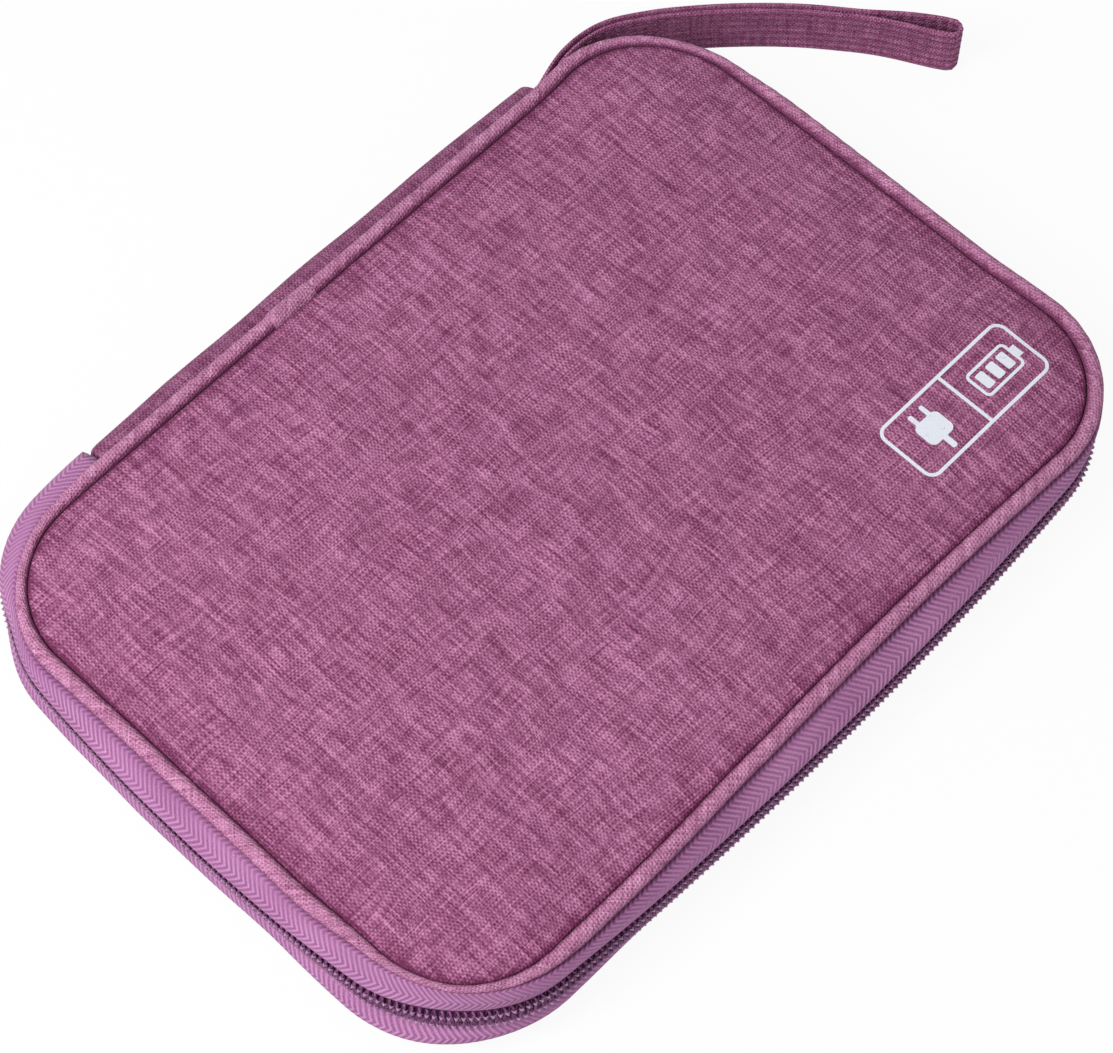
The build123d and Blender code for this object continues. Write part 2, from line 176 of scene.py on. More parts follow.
class Graph:
    """One material's node tree and its main shader."""

    def __init__(self, name: str) -> None:
        """Starts a material with an empty tree.

        Args:
            name: The material's name.
        """
        self.material = bpy.data.materials.new(name)
        self.material.use_nodes = True
        self.tree = self.material.node_tree
        self.tree.nodes.clear()

    @classmethod
    def of_world(cls, world: bpy.types.World) -> "Graph":
        """The world's own tree, emptied.

        Args:
            world: The world.

        Returns:
            A graph on that tree, with no material.
        """
        graph = cls.__new__(cls)
        graph.tree = world.node_tree
        graph.tree.nodes.clear()
        return graph

    def node(
        self,
        kind: str,
        settings: Optional[dict[str, object]] = None,
        inputs: Optional[dict[Union[str, int], ShaderInput]] = None,
    ) -> bpy.types.Node:
        """Adds a node, sets it up and feeds it.

        Args:
            kind: The node's type.
            settings: Its own settings; stops are a colour ramp's positions and colours.
            inputs: Values or links for its sockets, by name or number.

        Returns:
            The node.
        """
        made = self.tree.nodes.new(kind)
        for key, setting in (settings or {}).items():
            if key == "stops":
                self._fill_ramp(made.color_ramp, setting)
            else:
                setattr(made, key, setting)
        for key, given in (inputs or {}).items():
            if isinstance(given, Value):
                self.tree.links.new(given.socket, made.inputs[key])
            else:
                made.inputs[key].default_value = given
        return made

    @staticmethod
    def _fill_ramp(ramp: bpy.types.ColorRamp, stops: Sequence[tuple[float, Colour]]) -> None:
        """Gives a colour ramp its stops.

        Args:
            ramp: The ramp.
            stops: Places from 0 to 1 and their colours.
        """
        while len(ramp.elements) < len(stops):
            ramp.elements.new(1.0)
        for element, (place, colour) in zip(ramp.elements, stops):
            element.position = place
            element.color = (*colour, 1.0)

    def place(self, per_metre: tuple[float, float, float], cloth: bool = False) -> Value:
        """Coordinates on the piece, in the frame or along the cloth, stretched along each axis.

        Args:
            per_metre: How many units each metre counts for, along each axis.
            cloth: True for coordinates that run along and across the cloth.

        Returns:
            The stretched coordinates.
        """
        source = self.node("ShaderNodeTexCoord").outputs["UV" if cloth else "Object"]
        stretched = self.node(
            "ShaderNodeVectorMath", {"operation": "MULTIPLY"}, {0: Value(self, source), 1: per_metre}
        )
        return Value(self, stretched.outputs[0])

    def axes(self, place: Value) -> tuple[Value, Value, Value]:
        """The three parts of a coordinate."""
        parts = self.node("ShaderNodeSeparateXYZ", None, {0: place}).outputs
        return Value(self, parts[0]), Value(self, parts[1]), Value(self, parts[2])

    def noise(self, place: Value, detail: float = 2.0, roughness: float = 0.5) -> Value:
        """Soft noise about one unit across, from 0 to 1.

        Args:
            place: Where to read it.
            detail: How many finer layers it has.
            roughness: How strong those layers are.

        Returns:
            The noise.
        """
        inputs = {"Vector": place, "Scale": 1.0, "Detail": detail, "Roughness": roughness}
        return Value(self, self.node("ShaderNodeTexNoise", None, inputs).outputs[0])

    def seam(self) -> Value:
        """How much painted shade a seam's groove puts on the cloth, from 0 to 1."""
        made = self.node("ShaderNodeAttribute", {"attribute_name": PAINTED_SHADE_LAYER})
        return Value(self, made.outputs["Fac"])

    def ramp(self, amount: Value, stops: Sequence[tuple[float, Colour]]) -> Value:
        """Colours picked by a value."""
        made = self.node("ShaderNodeValToRGB", {"stops": stops}, {0: amount})
        return Value(self, made.outputs[0])

    def relief(self, height: Value, depth: float, strength: float = 1.0) -> Value:
        """A surface normal from a height.

        Args:
            height: The height, in units of depth.
            depth: How many metres one unit of height is.
            strength: How much of the relief shows.

        Returns:
            The normal.
        """
        inputs = {"Height": height, "Distance": depth, "Strength": strength}
        return Value(self, self.node("ShaderNodeBump", None, inputs).outputs[0])

    def finish(self, inputs: dict[Union[str, int], ShaderInput]) -> bpy.types.Material:
        """Ends the material with its main shader.

        Args:
            inputs: Values or links for the shader's sockets.

        Returns:
            The material.
        """
        shader = self.node("ShaderNodeBsdfPrincipled", None, inputs)
        output = self.node("ShaderNodeOutputMaterial")
        self.tree.links.new(shader.outputs[0], output.inputs[0])
        return self.material


# ---- Finishes -------------------------------------------------------------------------
class Grain(Enum):
    """Which way a heathered cloth's threads run on a piece."""

    PANEL = "along the frame's own axes"
    STRIP = "along and across the piece"
    BIAS = "slantwise across the piece"


@dataclass(frozen=True)
class HeatherCloth:
    """Heathered plain-woven cloth: two-tone yarn with dark and bright slubs both ways."""

    name: str
    grain: Grain
    dark: Colour = paint(112, 46, 84)
    middle: Colour = paint(160, 93, 132)
    bright: Colour = paint(216, 146, 187)
    warp_pitch: float = 0.50
    weft_pitch: float = 0.73
    slubs: float = 1.0
    weave_tone: float = 0.19
    # How much the seam layer's painted shade darkens this cloth.
    painted_seam_shade: float = 0.48
    relief_depth: float = 0.20 * MM

    def build(self) -> bpy.types.Material:
        """Makes the material. The pitches are in millimetres, as is all of its shader maths.

        Returns:
            The material.
        """
        graph = Graph(self.name)
        on_cloth = self.grain is not Grain.PANEL
        x, y, z = graph.axes(graph.place((1 / MM, 1 / MM, 1 / MM), on_cloth))
        if self.grain is Grain.BIAS:
            x, y = (x + y) * math.sqrt(0.5), (x - y) * math.sqrt(0.5)
        wander = graph.noise(graph.place((0.045 / MM, 0.045 / MM, 0.045 / MM), on_cloth), 1.0) - 0.5
        x, y = x + wander * 3.0, y - wander * 3.0

        def streak(across: Value, along: Value, width: float, length: float, seed: float) -> Value:
            """Noise drawn out along one thread direction, about 0.

            Args:
                across: The coordinate across the threads.
                along: The coordinate along them.
                width: One streak's width.
                length: One streak's length.
                seed: Which pattern.

            Returns:
                The noise.
            """
            parts = {0: across / width, 1: along / length, 2: z / 9 + seed}
            made = graph.node("ShaderNodeCombineXYZ", None, parts)
            return graph.noise(Value(graph, made.outputs[0]), 2.0, 0.6) - 0.5

        warp_slub = streak(x, y, 0.42, 9.0, 0.0)
        warp_band = streak(x, y, 1.7, 42.0, 11.0)
        weft_slub = streak(y, x, 0.38, 7.5, 23.0)
        weft_band = streak(y, x, 1.5, 26.0, 37.0)
        mottle = streak(x, y, 3.2, 7.0, 51.0)
        fuzz = streak(x, y, 0.24, 0.32, 63.0)
        patch = streak(x, y, 3.5, 7.0, 77.0) * 3.2 + 0.9
        over_under = (x / (2 * self.warp_pitch)).wave() * (y / (2 * self.weft_pitch)).wave()
        rows = (y / self.weft_pitch).wave()
        slubs = warp_slub * 1.35 + warp_band * 0.42 + weft_slub * 1.2 + weft_band * 0.16 + mottle * 0.26
        weave = over_under * patch * self.weave_tone + rows * (self.weave_tone * 0.25)
        # The seam layer's term is painted shade: the colour darkens where shade falls in a seam's groove.
        level = 0.5 + slubs * self.slubs + weave + fuzz * 1.1 - graph.seam() * self.painted_seam_shade
        stops = [(0.10, self.dark), (0.50, self.middle), (0.92, self.bright)]
        yarn_relief = over_under * 0.6 + warp_slub * 1.1 + weft_slub * 1.1
        return graph.finish(
            {
                "Base Color": graph.ramp(level, stops),
                "Roughness": 0.86 - warp_slub * 0.2,
                "Sheen Weight": 0.04,
                "Specular IOR Level": 0.12,
                "Normal": graph.relief(yarn_relief, self.relief_depth),
            }
        )


@dataclass(frozen=True)
class HerringboneTape:
    """Zip tape woven in chevron columns along its length."""

    name: str
    groove: Colour = paint(128, 74, 120)
    ground: Colour = paint(176, 116, 164)
    ridge: Colour = paint(214, 156, 202)
    column: float = 3.4
    pitch: float = 1.55
    slant: float = 0.95

    def build(self) -> bpy.types.Material:
        """Makes the material. The column and pitch are in millimetres, as is its shader maths.

        Returns:
            The material.
        """
        graph = Graph(self.name)
        along, across, _ = graph.axes(graph.place((1 / MM, 1 / MM, 1 / MM), True))
        zigzag = ((across / (2 * self.column) + 0.22).fraction() - 0.5).size() * (2 * self.column)
        ridge = ((along + zigzag * self.slant) / self.pitch).wave()
        thread = ((along - zigzag * 0.4) / 0.42).wave() * (across / 0.36).wave()
        fibre = graph.noise(graph.place((2.4 / MM, 4.0 / MM, 1.0), True), 2.0) - 0.5
        worn = graph.noise(graph.place((0.04 / MM, 0.22 / MM, 1.0), True), 2.0) - 0.5
        strength = graph.noise(graph.place((0.02 / MM, 0.30 / MM, 7.0), True), 1.0)
        # The seam layer's term is painted shade: the tape darkens where shade falls beside the piping and the
        # coil.
        shade = 0.5 + ridge * strength * 0.36 + thread * 0.05 + fibre * 0.6 + worn * 0.4 - graph.seam() * 0.45
        stops = [(0.1, self.groove), (0.5, self.ground), (0.9, self.ridge)]
        return graph.finish(
            {
                "Base Color": graph.ramp(shade, stops),
                "Roughness": 0.72 - fibre * 0.3,
                "Sheen Weight": 0.05,
                "Specular IOR Level": 0.15,
                "Normal": graph.relief(ridge * strength + fibre, 0.16 * MM),
            }
        )


@dataclass(frozen=True)
class PlainWeave:
    """Close plain weave in one colour, for linings, bindings and elastic."""

    name: str
    colour: Colour
    pale: Colour
    thread: float = 0.5 * MM
    rib: float = 1.0
    on_cloth: bool = False
    depth: float = 0.12 * MM

    def build(self) -> bpy.types.Material:
        """Makes the material. rib stretches the weave along the cloth, as in grosgrain.

        Returns:
            The material.
        """
        graph = Graph(self.name)
        along, across, _ = graph.axes(graph.place((1 / MM, 1 / MM, 1 / MM), self.on_cloth))
        pitch = self.thread / MM
        weave = (along / (pitch * self.rib)).wave() * (across / pitch).wave()
        fibre = graph.noise(graph.place((2.0 / MM, 2.0 / MM, 2.0 / MM), self.on_cloth), 2.0) - 0.5
        cloud = graph.noise(graph.place((0.06 / MM, 0.06 / MM, 0.06 / MM), self.on_cloth), 2.0) - 0.5
        share = 0.4 + weave * 0.16 + fibre * 0.6 + cloud * 0.4
        return graph.finish(
            {
                "Base Color": graph.ramp(share, [(0.1, self.colour), (0.95, self.pale)]),
                "Roughness": 0.8 - fibre * 0.3,
                "Sheen Weight": 0.1,
                "Specular IOR Level": 0.3,
                "Normal": graph.relief(weave * 0.5 + fibre * 0.6, self.depth),
            }
        )


@dataclass(frozen=True)
class CoilNylon:
    """Smooth dyed monofilament, a little darker where the dye pools."""

    name: str
    deep: Colour = paint(84, 36, 78)
    light: Colour = paint(146, 88, 138)

    def build(self) -> bpy.types.Material:
        """Makes the material.

        Returns:
            The material.
        """
        graph = Graph(self.name)
        pool = graph.noise(graph.place((0.9 / MM, 0.9 / MM, 0.9 / MM)), 1.0)
        return graph.finish(
            {
                "Base Color": graph.ramp(pool, [(0.3, self.deep), (0.75, self.light)]),
                "Roughness": 0.34 + pool * 0.12,
                "Specular IOR Level": 0.35,
                "Normal": graph.relief(pool, 0.05 * MM),
            }
        )


@dataclass(frozen=True)
class SpunThread:
    """Twisted sewing thread."""

    name: str
    colour: Colour
    pale: Colour

    def build(self) -> bpy.types.Material:
        """Makes the material.

        Returns:
            The material.
        """
        graph = Graph(self.name)
        along, across, _ = graph.axes(graph.place((1 / MM, 1 / MM, 1 / MM), True))
        twist = ((along * 1.6) + (across * 1.1)).wave()
        fuzz = graph.noise(graph.place((3.0 / MM, 3.0 / MM, 3.0 / MM)), 1.0) - 0.5
        return graph.finish(
            {
                "Base Color": graph.ramp(0.5 + twist * 0.25 + fuzz, [(0.2, self.colour), (0.9, self.pale)]),
                "Roughness": 0.6 + fuzz * 0.2,
                "Sheen Weight": 0.2,
                "Normal": graph.relief(twist, 0.05 * MM),
            }
        )


@dataclass(frozen=True)
class EnamelledZinc:
    """Die-cast zinc under coloured enamel, rubbed a little on its faces."""

    name: str
    enamel: Colour = paint(98, 44, 90)
    rubbed: Colour = paint(140, 92, 134)

    def build(self) -> bpy.types.Material:
        """Makes the material.

        Returns:
            The material.
        """
        graph = Graph(self.name)
        rub = graph.noise(graph.place((0.35 / MM, 0.35 / MM, 0.35 / MM)), 4.0, 0.65)
        grit = graph.noise(graph.place((4.0 / MM, 4.0 / MM, 4.0 / MM)), 2.0)
        return graph.finish(
            {
                "Base Color": graph.ramp(rub, [(0.52, self.enamel), (0.72, self.rubbed)]),
                "Metallic": 0.35,
                "Roughness": 0.26 + rub * 0.22,
                "Coat Weight": 0.35,
                "Normal": graph.relief(grit, 0.02 * MM),
            }
        )


@dataclass(frozen=True)
class ScreenPrint:
    """White ink pressed into the weave."""

    name: str
    ink: Colour = paint(236, 240, 250)
    worn: Colour = paint(214, 214, 228)

    def build(self) -> bpy.types.Material:
        """Makes the material.

        Returns:
            The material.
        """
        graph = Graph(self.name)
        x, y, _ = graph.axes(graph.place((1 / MM, 1 / MM, 1 / MM)))
        weave = (x / 0.52).wave() * (y / 0.52).wave()
        thin = graph.noise(graph.place((0.7 / MM, 0.7 / MM, 0.7 / MM)), 3.0)
        return graph.finish(
            {
                "Base Color": graph.ramp(thin + weave * 0.05, [(0.24, self.worn), (0.36, self.ink)]),
                "Roughness": 0.5 + thin * 0.2,
                "Normal": graph.relief(weave, 0.03 * MM),
            }
        )


@dataclass(frozen=True)
class Finishes:
    """Every material of the pouch, made once."""

    cover: bpy.types.Material
    bias: bpy.types.Material
    gusset: bpy.types.Material
    strip: bpy.types.Material
    tape: bpy.types.Material
    coil: bpy.types.Material
    thread: bpy.types.Material
    chain_thread: bpy.types.Material
    dark_thread: bpy.types.Material
    lining: bpy.types.Material
    pocket: bpy.types.Material
    binding: bpy.types.Material
    elastic: bpy.types.Material
    net: bpy.types.Material
    enamel: bpy.types.Material
    ink: bpy.types.Material

    @classmethod
    def build(cls) -> "Finishes":
        """Makes all the materials.

        Returns:
            The finishes.
        """
        charcoal, slate = paint(40, 38, 43), paint(78, 75, 82)
        black, soot = paint(24, 23, 27), paint(58, 56, 63)
        return cls(
            cover=HeatherCloth("cover_cloth", Grain.PANEL).build(),
            bias=HeatherCloth(
                "piping_cloth",
                Grain.BIAS,
                dark=paint(126, 62, 100),
                middle=paint(190, 124, 162),
                bright=paint(240, 178, 216),
                slubs=0.75,
                weave_tone=0.14,
                # Stronger painted shade on the piping's sides, beside the cover and the tape.
                painted_seam_shade=0.60,
            ).build(),
            # The cover's cloth in darker colours: painted shade for the gusset, which lies in the lid's
            # shade.
            gusset=HeatherCloth(
                "gusset_painted_shade_cloth",
                Grain.PANEL,
                dark=paint(96, 38, 72),
                middle=paint(142, 80, 117),
                bright=paint(190, 126, 165),
            ).build(),
            strip=HeatherCloth("strap_cloth", Grain.STRIP, middle=paint(156, 90, 129), slubs=0.8).build(),
            tape=HerringboneTape("zip_tape_weave").build(),
            coil=CoilNylon("coil_nylon").build(),
            thread=SpunThread("plum_thread", paint(96, 48, 84), paint(150, 96, 136)).build(),
            chain_thread=SpunThread("chain_thread", paint(142, 96, 136), paint(206, 158, 198)).build(),
            dark_thread=SpunThread("dark_thread", black, slate).build(),
            lining=PlainWeave("lining_nylon", charcoal, slate, thread=0.6 * MM).build(),
            pocket=PlainWeave("pocket_nylon", paint(48, 46, 52), slate, thread=0.7 * MM).build(),
            binding=PlainWeave("grosgrain", black, soot, thread=0.7 * MM, rib=0.8, on_cloth=True).build(),
            elastic=PlainWeave("elastic_web", black, soot, thread=0.9 * MM, rib=0.7, on_cloth=True).build(),
            net=PlainWeave("net_yarn", black, slate, thread=0.4 * MM).build(),
            enamel=EnamelledZinc("slider_enamel").build(),
            ink=ScreenPrint("white_print").build(),
        )


# ---- Mesh tools -----------------------------------------------------------------------
def mesh_piece(
    name: str,
    points: Array,
    faces: Sequence[Sequence[int]],
    uv: Optional[Array] = None,
) -> bpy.types.Object:
    """Makes a smooth-shaded piece from points and faces.

    Args:
        name: The piece's name.
        points: Its vertices, in metres.
        faces: Vertex numbers of each face.
        uv: Coordinates along and across the cloth, one pair for each face corner.

    Returns:
        The new object, in the scene.
    """
    mesh = bpy.data.meshes.new(name)
    mesh.from_pydata([tuple(point) for point in points], [], [tuple(face) for face in faces])
    if uv is not None:
        layer = mesh.uv_layers.new(name="cloth")
        layer.data.foreach_set("uv", np.asarray(uv, dtype=np.float32).ravel())
    shape = bmesh.new()
    shape.from_mesh(mesh)
    bmesh.ops.recalc_face_normals(shape, faces=shape.faces)
    shape.to_mesh(mesh)
    shape.free()
    mesh.shade_smooth()
    made = bpy.data.objects.new(name, mesh)
    bpy.context.scene.collection.objects.link(made)
    return made


def grid_faces(rows: int, columns: int, close_rows: bool, close_columns: bool) -> Array:
    """The quads of a grid of points.

    Args:
        rows: Points along.
        columns: Points across.
        close_rows: True if the last row joins the first.
        close_columns: True if the last column joins the first.

    Returns:
        Four vertex numbers for each quad.
    """
    i = np.arange(rows if close_rows else rows - 1)
    j = np.arange(columns if close_columns else columns - 1)
    i, j = (part.ravel() for part in np.meshgrid(i, j, indexing="ij"))
    next_i, next_j = (i + 1) % rows, (j + 1) % columns
    corners = (i * columns + j, next_i * columns + j, next_i * columns + next_j, i * columns + next_j)
    return np.stack(corners, axis=1)


def grid_piece(
    name: str,
    grid: Array,
    close_rows: bool = False,
    close_columns: bool = False,
) -> bpy.types.Object:
    """Makes a piece from a grid of points, with its ends capped where only the columns close.

    Args:
        name: The piece's name.
        grid: Points as rows along the piece and columns across it.
        close_rows: True if it joins up along its length.
        close_columns: True if it joins up across, as a tube does.

    Returns:
        The new object, with cloth coordinates in metres along and across.
    """
    rows, columns = grid.shape[:2]
    faces = grid_faces(rows, columns, close_rows, close_columns)
    ring = np.concatenate([grid, grid[:1]], axis=0)
    along = np.concatenate([[0.0], np.cumsum(np.linalg.norm(np.diff(ring, axis=0), axis=2).mean(axis=1))])
    band = np.concatenate([grid, grid[:, :1]], axis=1)
    across = np.concatenate([[0.0], np.cumsum(np.linalg.norm(np.diff(band, axis=1), axis=2).mean(axis=0))])
    i = faces[:, 0] // columns
    j = faces[:, 0] % columns
    corners = [(along[i], across[j]), (along[i + 1], across[j])]
    corners += [(along[i + 1], across[j + 1]), (along[i], across[j + 1])]
    uv = np.stack([np.stack(corner, axis=1) for corner in corners], axis=1).reshape(-1, 2)
    all_faces = faces.tolist()
    if close_columns and not close_rows:
        first = list(range(columns))
        last = [(rows - 1) * columns + j for j in range(columns)]
        all_faces += [first[::-1], last]
        caps = np.zeros((2 * columns, 2))
        caps[:, 1] = np.tile(across[:columns], 2)
        uv = np.concatenate([uv, caps])
    return mesh_piece(name, grid.reshape(-1, 3), all_faces, uv)


def spline_weights(controls: int, samples: int) -> Array:
    """Weights that turn control values into samples of a smooth curve through them.

    Args:
        controls: How many control values there are.
        samples: How many samples to take.

    Returns:
        A samples by controls matrix.
    """
    weights = np.zeros((samples, controls))
    for row, t in enumerate(np.linspace(0, controls - 1, samples)):
        k = min(int(t), controls - 2)
        f = t - k
        basis = (
            -0.5 * f + f**2 - 0.5 * f**3,
            1 - 2.5 * f**2 + 1.5 * f**3,
            0.5 * f + 2 * f**2 - 1.5 * f**3,
            -0.5 * f**2 + 0.5 * f**3,
        )
        for step, weight in zip((-1, 0, 1, 2), basis):
            weights[row, min(max(k + step, 0), controls - 1)] += weight
    return weights


def even_path(points: Array, spacing: float) -> Array:
    """A smooth path through points, with evenly spaced samples.

    Args:
        points: Points on the path.
        spacing: The distance between samples.

    Returns:
        The samples.
    """
    fine = spline_weights(len(points), 40 * len(points)) @ points
    length = np.concatenate([[0.0], np.cumsum(np.linalg.norm(np.diff(fine, axis=0), axis=1))])
    steps = np.linspace(0, length[-1], max(3, int(length[-1] / spacing) + 1))
    return np.stack([np.interp(steps, length, fine[:, k]) for k in range(fine.shape[1])], axis=1)


def thick_profile(outer: Array, thickness: float) -> Array:
    """Closes an open profile into a strip of that thickness, on the side away from its left.

    Args:
        outer: Stations by points by 2, the visible side of the profile.
        thickness: The strip's thickness.

    Returns:
        Stations by twice the points by 2, going out along one side and back along the other.
    """
    tangent = np.gradient(outer, axis=1)
    tangent /= np.linalg.norm(tangent, axis=2, keepdims=True) + 1e-12
    normal = np.stack([tangent[..., 1], -tangent[..., 0]], axis=2)
    inner = outer + normal * thickness
    return np.concatenate([outer, inner[:, ::-1]], axis=1)


def tube(
    name: str,
    path: Array,
    radius: Union[float, Array],
    sides: int,
    closed: bool = False,
) -> bpy.types.Object:
    """A round thread or wire along a path.

    Args:
        name: The piece's name.
        path: Points on its middle line.
        radius: Its radius, one number or one for each point.
        sides: How many sides its section has.
        closed: True if the path joins up.

    Returns:
        The new object.
    """
    ahead = np.roll(path, -1, axis=0)
    behind = np.roll(path, 1, axis=0)
    if not closed:
        ahead[-1] = path[-1]
        behind[0] = path[0]
    tangent = ahead - behind
    tangent /= np.linalg.norm(tangent, axis=1, keepdims=True)
    normals = np.zeros_like(path)
    normal = np.cross(tangent[0], (0.31, 0.17, 0.93))
    for k, direction in enumerate(tangent):
        normal = normal - direction * float(normal @ direction)
        normal /= np.linalg.norm(normal)
        normals[k] = normal
    sideways = np.cross(tangent, normals)
    turn = np.linspace(0, 2 * math.pi, sides, endpoint=False)
    size = np.broadcast_to(np.asarray(radius, dtype=float), (len(path),))[:, None, None]
    ring = normals[:, None] * np.cos(turn)[None, :, None] + sideways[:, None] * np.sin(turn)[None, :, None]
    return grid_piece(name, path[:, None] + ring * size, closed, True)


def stitches(
    name: str,
    rows: Sequence[tuple[Array, Array]],
    stitch: float = 2.6 * MM,
    gap: float = 0.9 * MM,
    radius: float = 0.24 * MM,
) -> bpy.types.Object:
    """Rows of sewn stitches: short lengths of thread that dive into the cloth at both ends.

    Args:
        name: The piece's name.
        rows: For each row, its points on the cloth and the direction off the cloth at each.
        stitch: The visible length of one stitch.
        gap: The distance between stitches.
        radius: The thread's radius.

    Returns:
        One object that holds all the rows.
    """
    points: list[Array] = []
    faces: list[list[int]] = []
    sides, rings = 6, 6
    turn = np.linspace(0, 2 * math.pi, sides, endpoint=False)
    t = np.linspace(0, 1, rings)
    arch = np.sin(t * math.pi)
    for path, lift in rows:
        length = np.concatenate([[0.0], np.cumsum(np.linalg.norm(np.diff(path, axis=0), axis=1))])
        count = max(1, int((length[-1] - gap) / (stitch + gap)))
        for number in range(count):
            at = gap + number * (stitch + gap) + t * stitch
            centre = np.stack([np.interp(at, length, path[:, k]) for k in range(3)], axis=1)
            up = np.stack([np.interp(at, length, lift[:, k]) for k in range(3)], axis=1)
            up /= np.linalg.norm(up, axis=1, keepdims=True)
            side = np.cross(np.gradient(centre, axis=0), up)
            side /= np.linalg.norm(side, axis=1, keepdims=True)
            centre = centre + up * (radius * (1.3 * arch - 0.7))[:, None]
            ring = up[:, None] * np.cos(turn)[None, :, None] + side[:, None] * np.sin(turn)[None, :, None]
            size = radius * (0.45 + 0.55 * arch)
            base = len(points) * rings * sides
            points.append((centre[:, None] + ring * size[:, None, None]).reshape(-1, 3))
            faces += (grid_faces(rings, sides, False, True) + base).tolist()
            faces.append([base + k for k in range(sides)][::-1])
            faces.append([base + (rings - 1) * sides + k for k in range(sides)])
    return mesh_piece(name, np.concatenate(points), faces)


def ribbon(
    name: str,
    path: Array,
    side: Array,
    width: Union[float, Array],
    thickness: float,
    crown: Union[float, Array] = 0.0,
    steps: int = 9,
) -> bpy.types.Object:
    """A flat strip of webbing or cloth along a path, with rounded edges.

    Args:
        name: The piece's name.
        path: Points on its middle line.
        side: The direction across it, one for all or one for each point.
        width: Its width, one number or one for each point.
        thickness: Its thickness.
        crown: How far its middle stands above its edges, one number or one for each point.
        steps: Points across each face.

    Returns:
        The new object.
    """
    count = len(path)
    side = np.broadcast_to(np.asarray(side, dtype=float), (count, 3))
    width = np.broadcast_to(np.asarray(width, dtype=float), (count,))
    crown = np.broadcast_to(np.asarray(crown, dtype=float), (count,))
    tangent = np.gradient(path, axis=0)
    normal = np.cross(tangent, side)
    normal /= np.linalg.norm(normal, axis=1, keepdims=True)
    share = -np.cos(np.linspace(0, math.pi, steps))
    half = thickness / 2 * np.sqrt(1 - 0.75 * share**12)
    across = np.concatenate([share, share[::-1]])
    above = np.concatenate([half, -half[::-1]])
    rise = crown[:, None] * (1 - across**2)[None] + above[None]
    sideways = side[:, None] * (across[None] * width[:, None] / 2)[..., None]
    grid = path[:, None] + sideways + normal[:, None] * rise[..., None]
    return grid_piece(name, grid, False, True)


def settle(piece: bpy.types.Object) -> bpy.types.Object:
    """Works a piece's modifiers into its mesh.

    Args:
        piece: The piece.

    Returns:
        The same piece, with no modifier left.
    """
    graph = bpy.context.evaluated_depsgraph_get()
    final = bpy.data.meshes.new_from_object(piece.evaluated_get(graph), depsgraph=graph)
    piece.modifiers.clear()
    piece.data = final
    final.shade_smooth()
    return piece


def vertex_points(piece: bpy.types.Object) -> Array:
    """A piece's vertices, n by 3.

    Args:
        piece: The piece.

    Returns:
        Their places, in metres.
    """
    points = np.zeros(3 * len(piece.data.vertices))
    piece.data.vertices.foreach_get("co", points)
    return points.reshape(-1, 3)


def swell(piece: bpy.types.Object, held: Sequence[int], pressure: float, cap: float) -> None:
    """Blows a closed pad up a little with the cloth solver, and keeps the result.

    Args:
        piece: The pad.
        held: Vertices that stay where they are, at its seam and flat side.
        pressure: How hard it is blown up.
        cap: The furthest that any point may move.
    """
    before = vertex_points(piece)
    piece.vertex_groups.new(name="held").add([int(number) for number in held], 1.0, "REPLACE")
    cloth = piece.modifiers.new("swell", "CLOTH")
    cloth.settings.vertex_group_mass = "held"
    cloth.settings.use_pressure = True
    cloth.settings.uniform_pressure_force = pressure
    cloth.settings.effector_weights.gravity = 0
    cloth.settings.tension_stiffness = 40
    cloth.settings.bending_stiffness = 2
    cloth.point_cache.frame_end = 20
    scene = bpy.context.scene
    for step in range(1, 21):
        scene.frame_set(step)
    solved = piece.evaluated_get(bpy.context.evaluated_depsgraph_get())
    after = np.zeros(before.size)
    solved.data.vertices.foreach_get("co", after)
    move = after.reshape(-1, 3) - before
    reach = np.linalg.norm(move, axis=1, keepdims=True)
    move *= np.minimum(1.0, cap / np.maximum(reach, 1e-9))
    piece.modifiers.clear()
    piece.vertex_groups.clear()
    piece.data.vertices.foreach_set("co", (before + move).ravel())
    piece.data.update()
    scene.frame_set(1)


def paint_seam_shade(piece: bpy.types.Object, amounts: Array) -> None:
    """Keeps, for each point of the piece, how much painted shade its seam's groove puts on the cloth's
    colour, from 0 to 1.
    """
    layer = piece.data.attributes.new(PAINTED_SHADE_LAYER, "FLOAT", "POINT")
    layer.data.foreach_set("value", np.asarray(amounts, dtype=np.float32).ravel())


def dress(piece: bpy.types.Object, material: bpy.types.Material, body: str) -> bpy.types.Object:
    """Gives a piece its material and the body it rides on.

    Args:
        piece: The piece.
        material: Its material.
        body: The body that it moves with.

    Returns:
        The piece.
    """
    piece.data.materials.clear()
    piece.data.materials.append(material)
    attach(piece, body)
    LOG.info("%s: %d vertices on %s", piece.name, len(piece.data.vertices), body)
    return piece


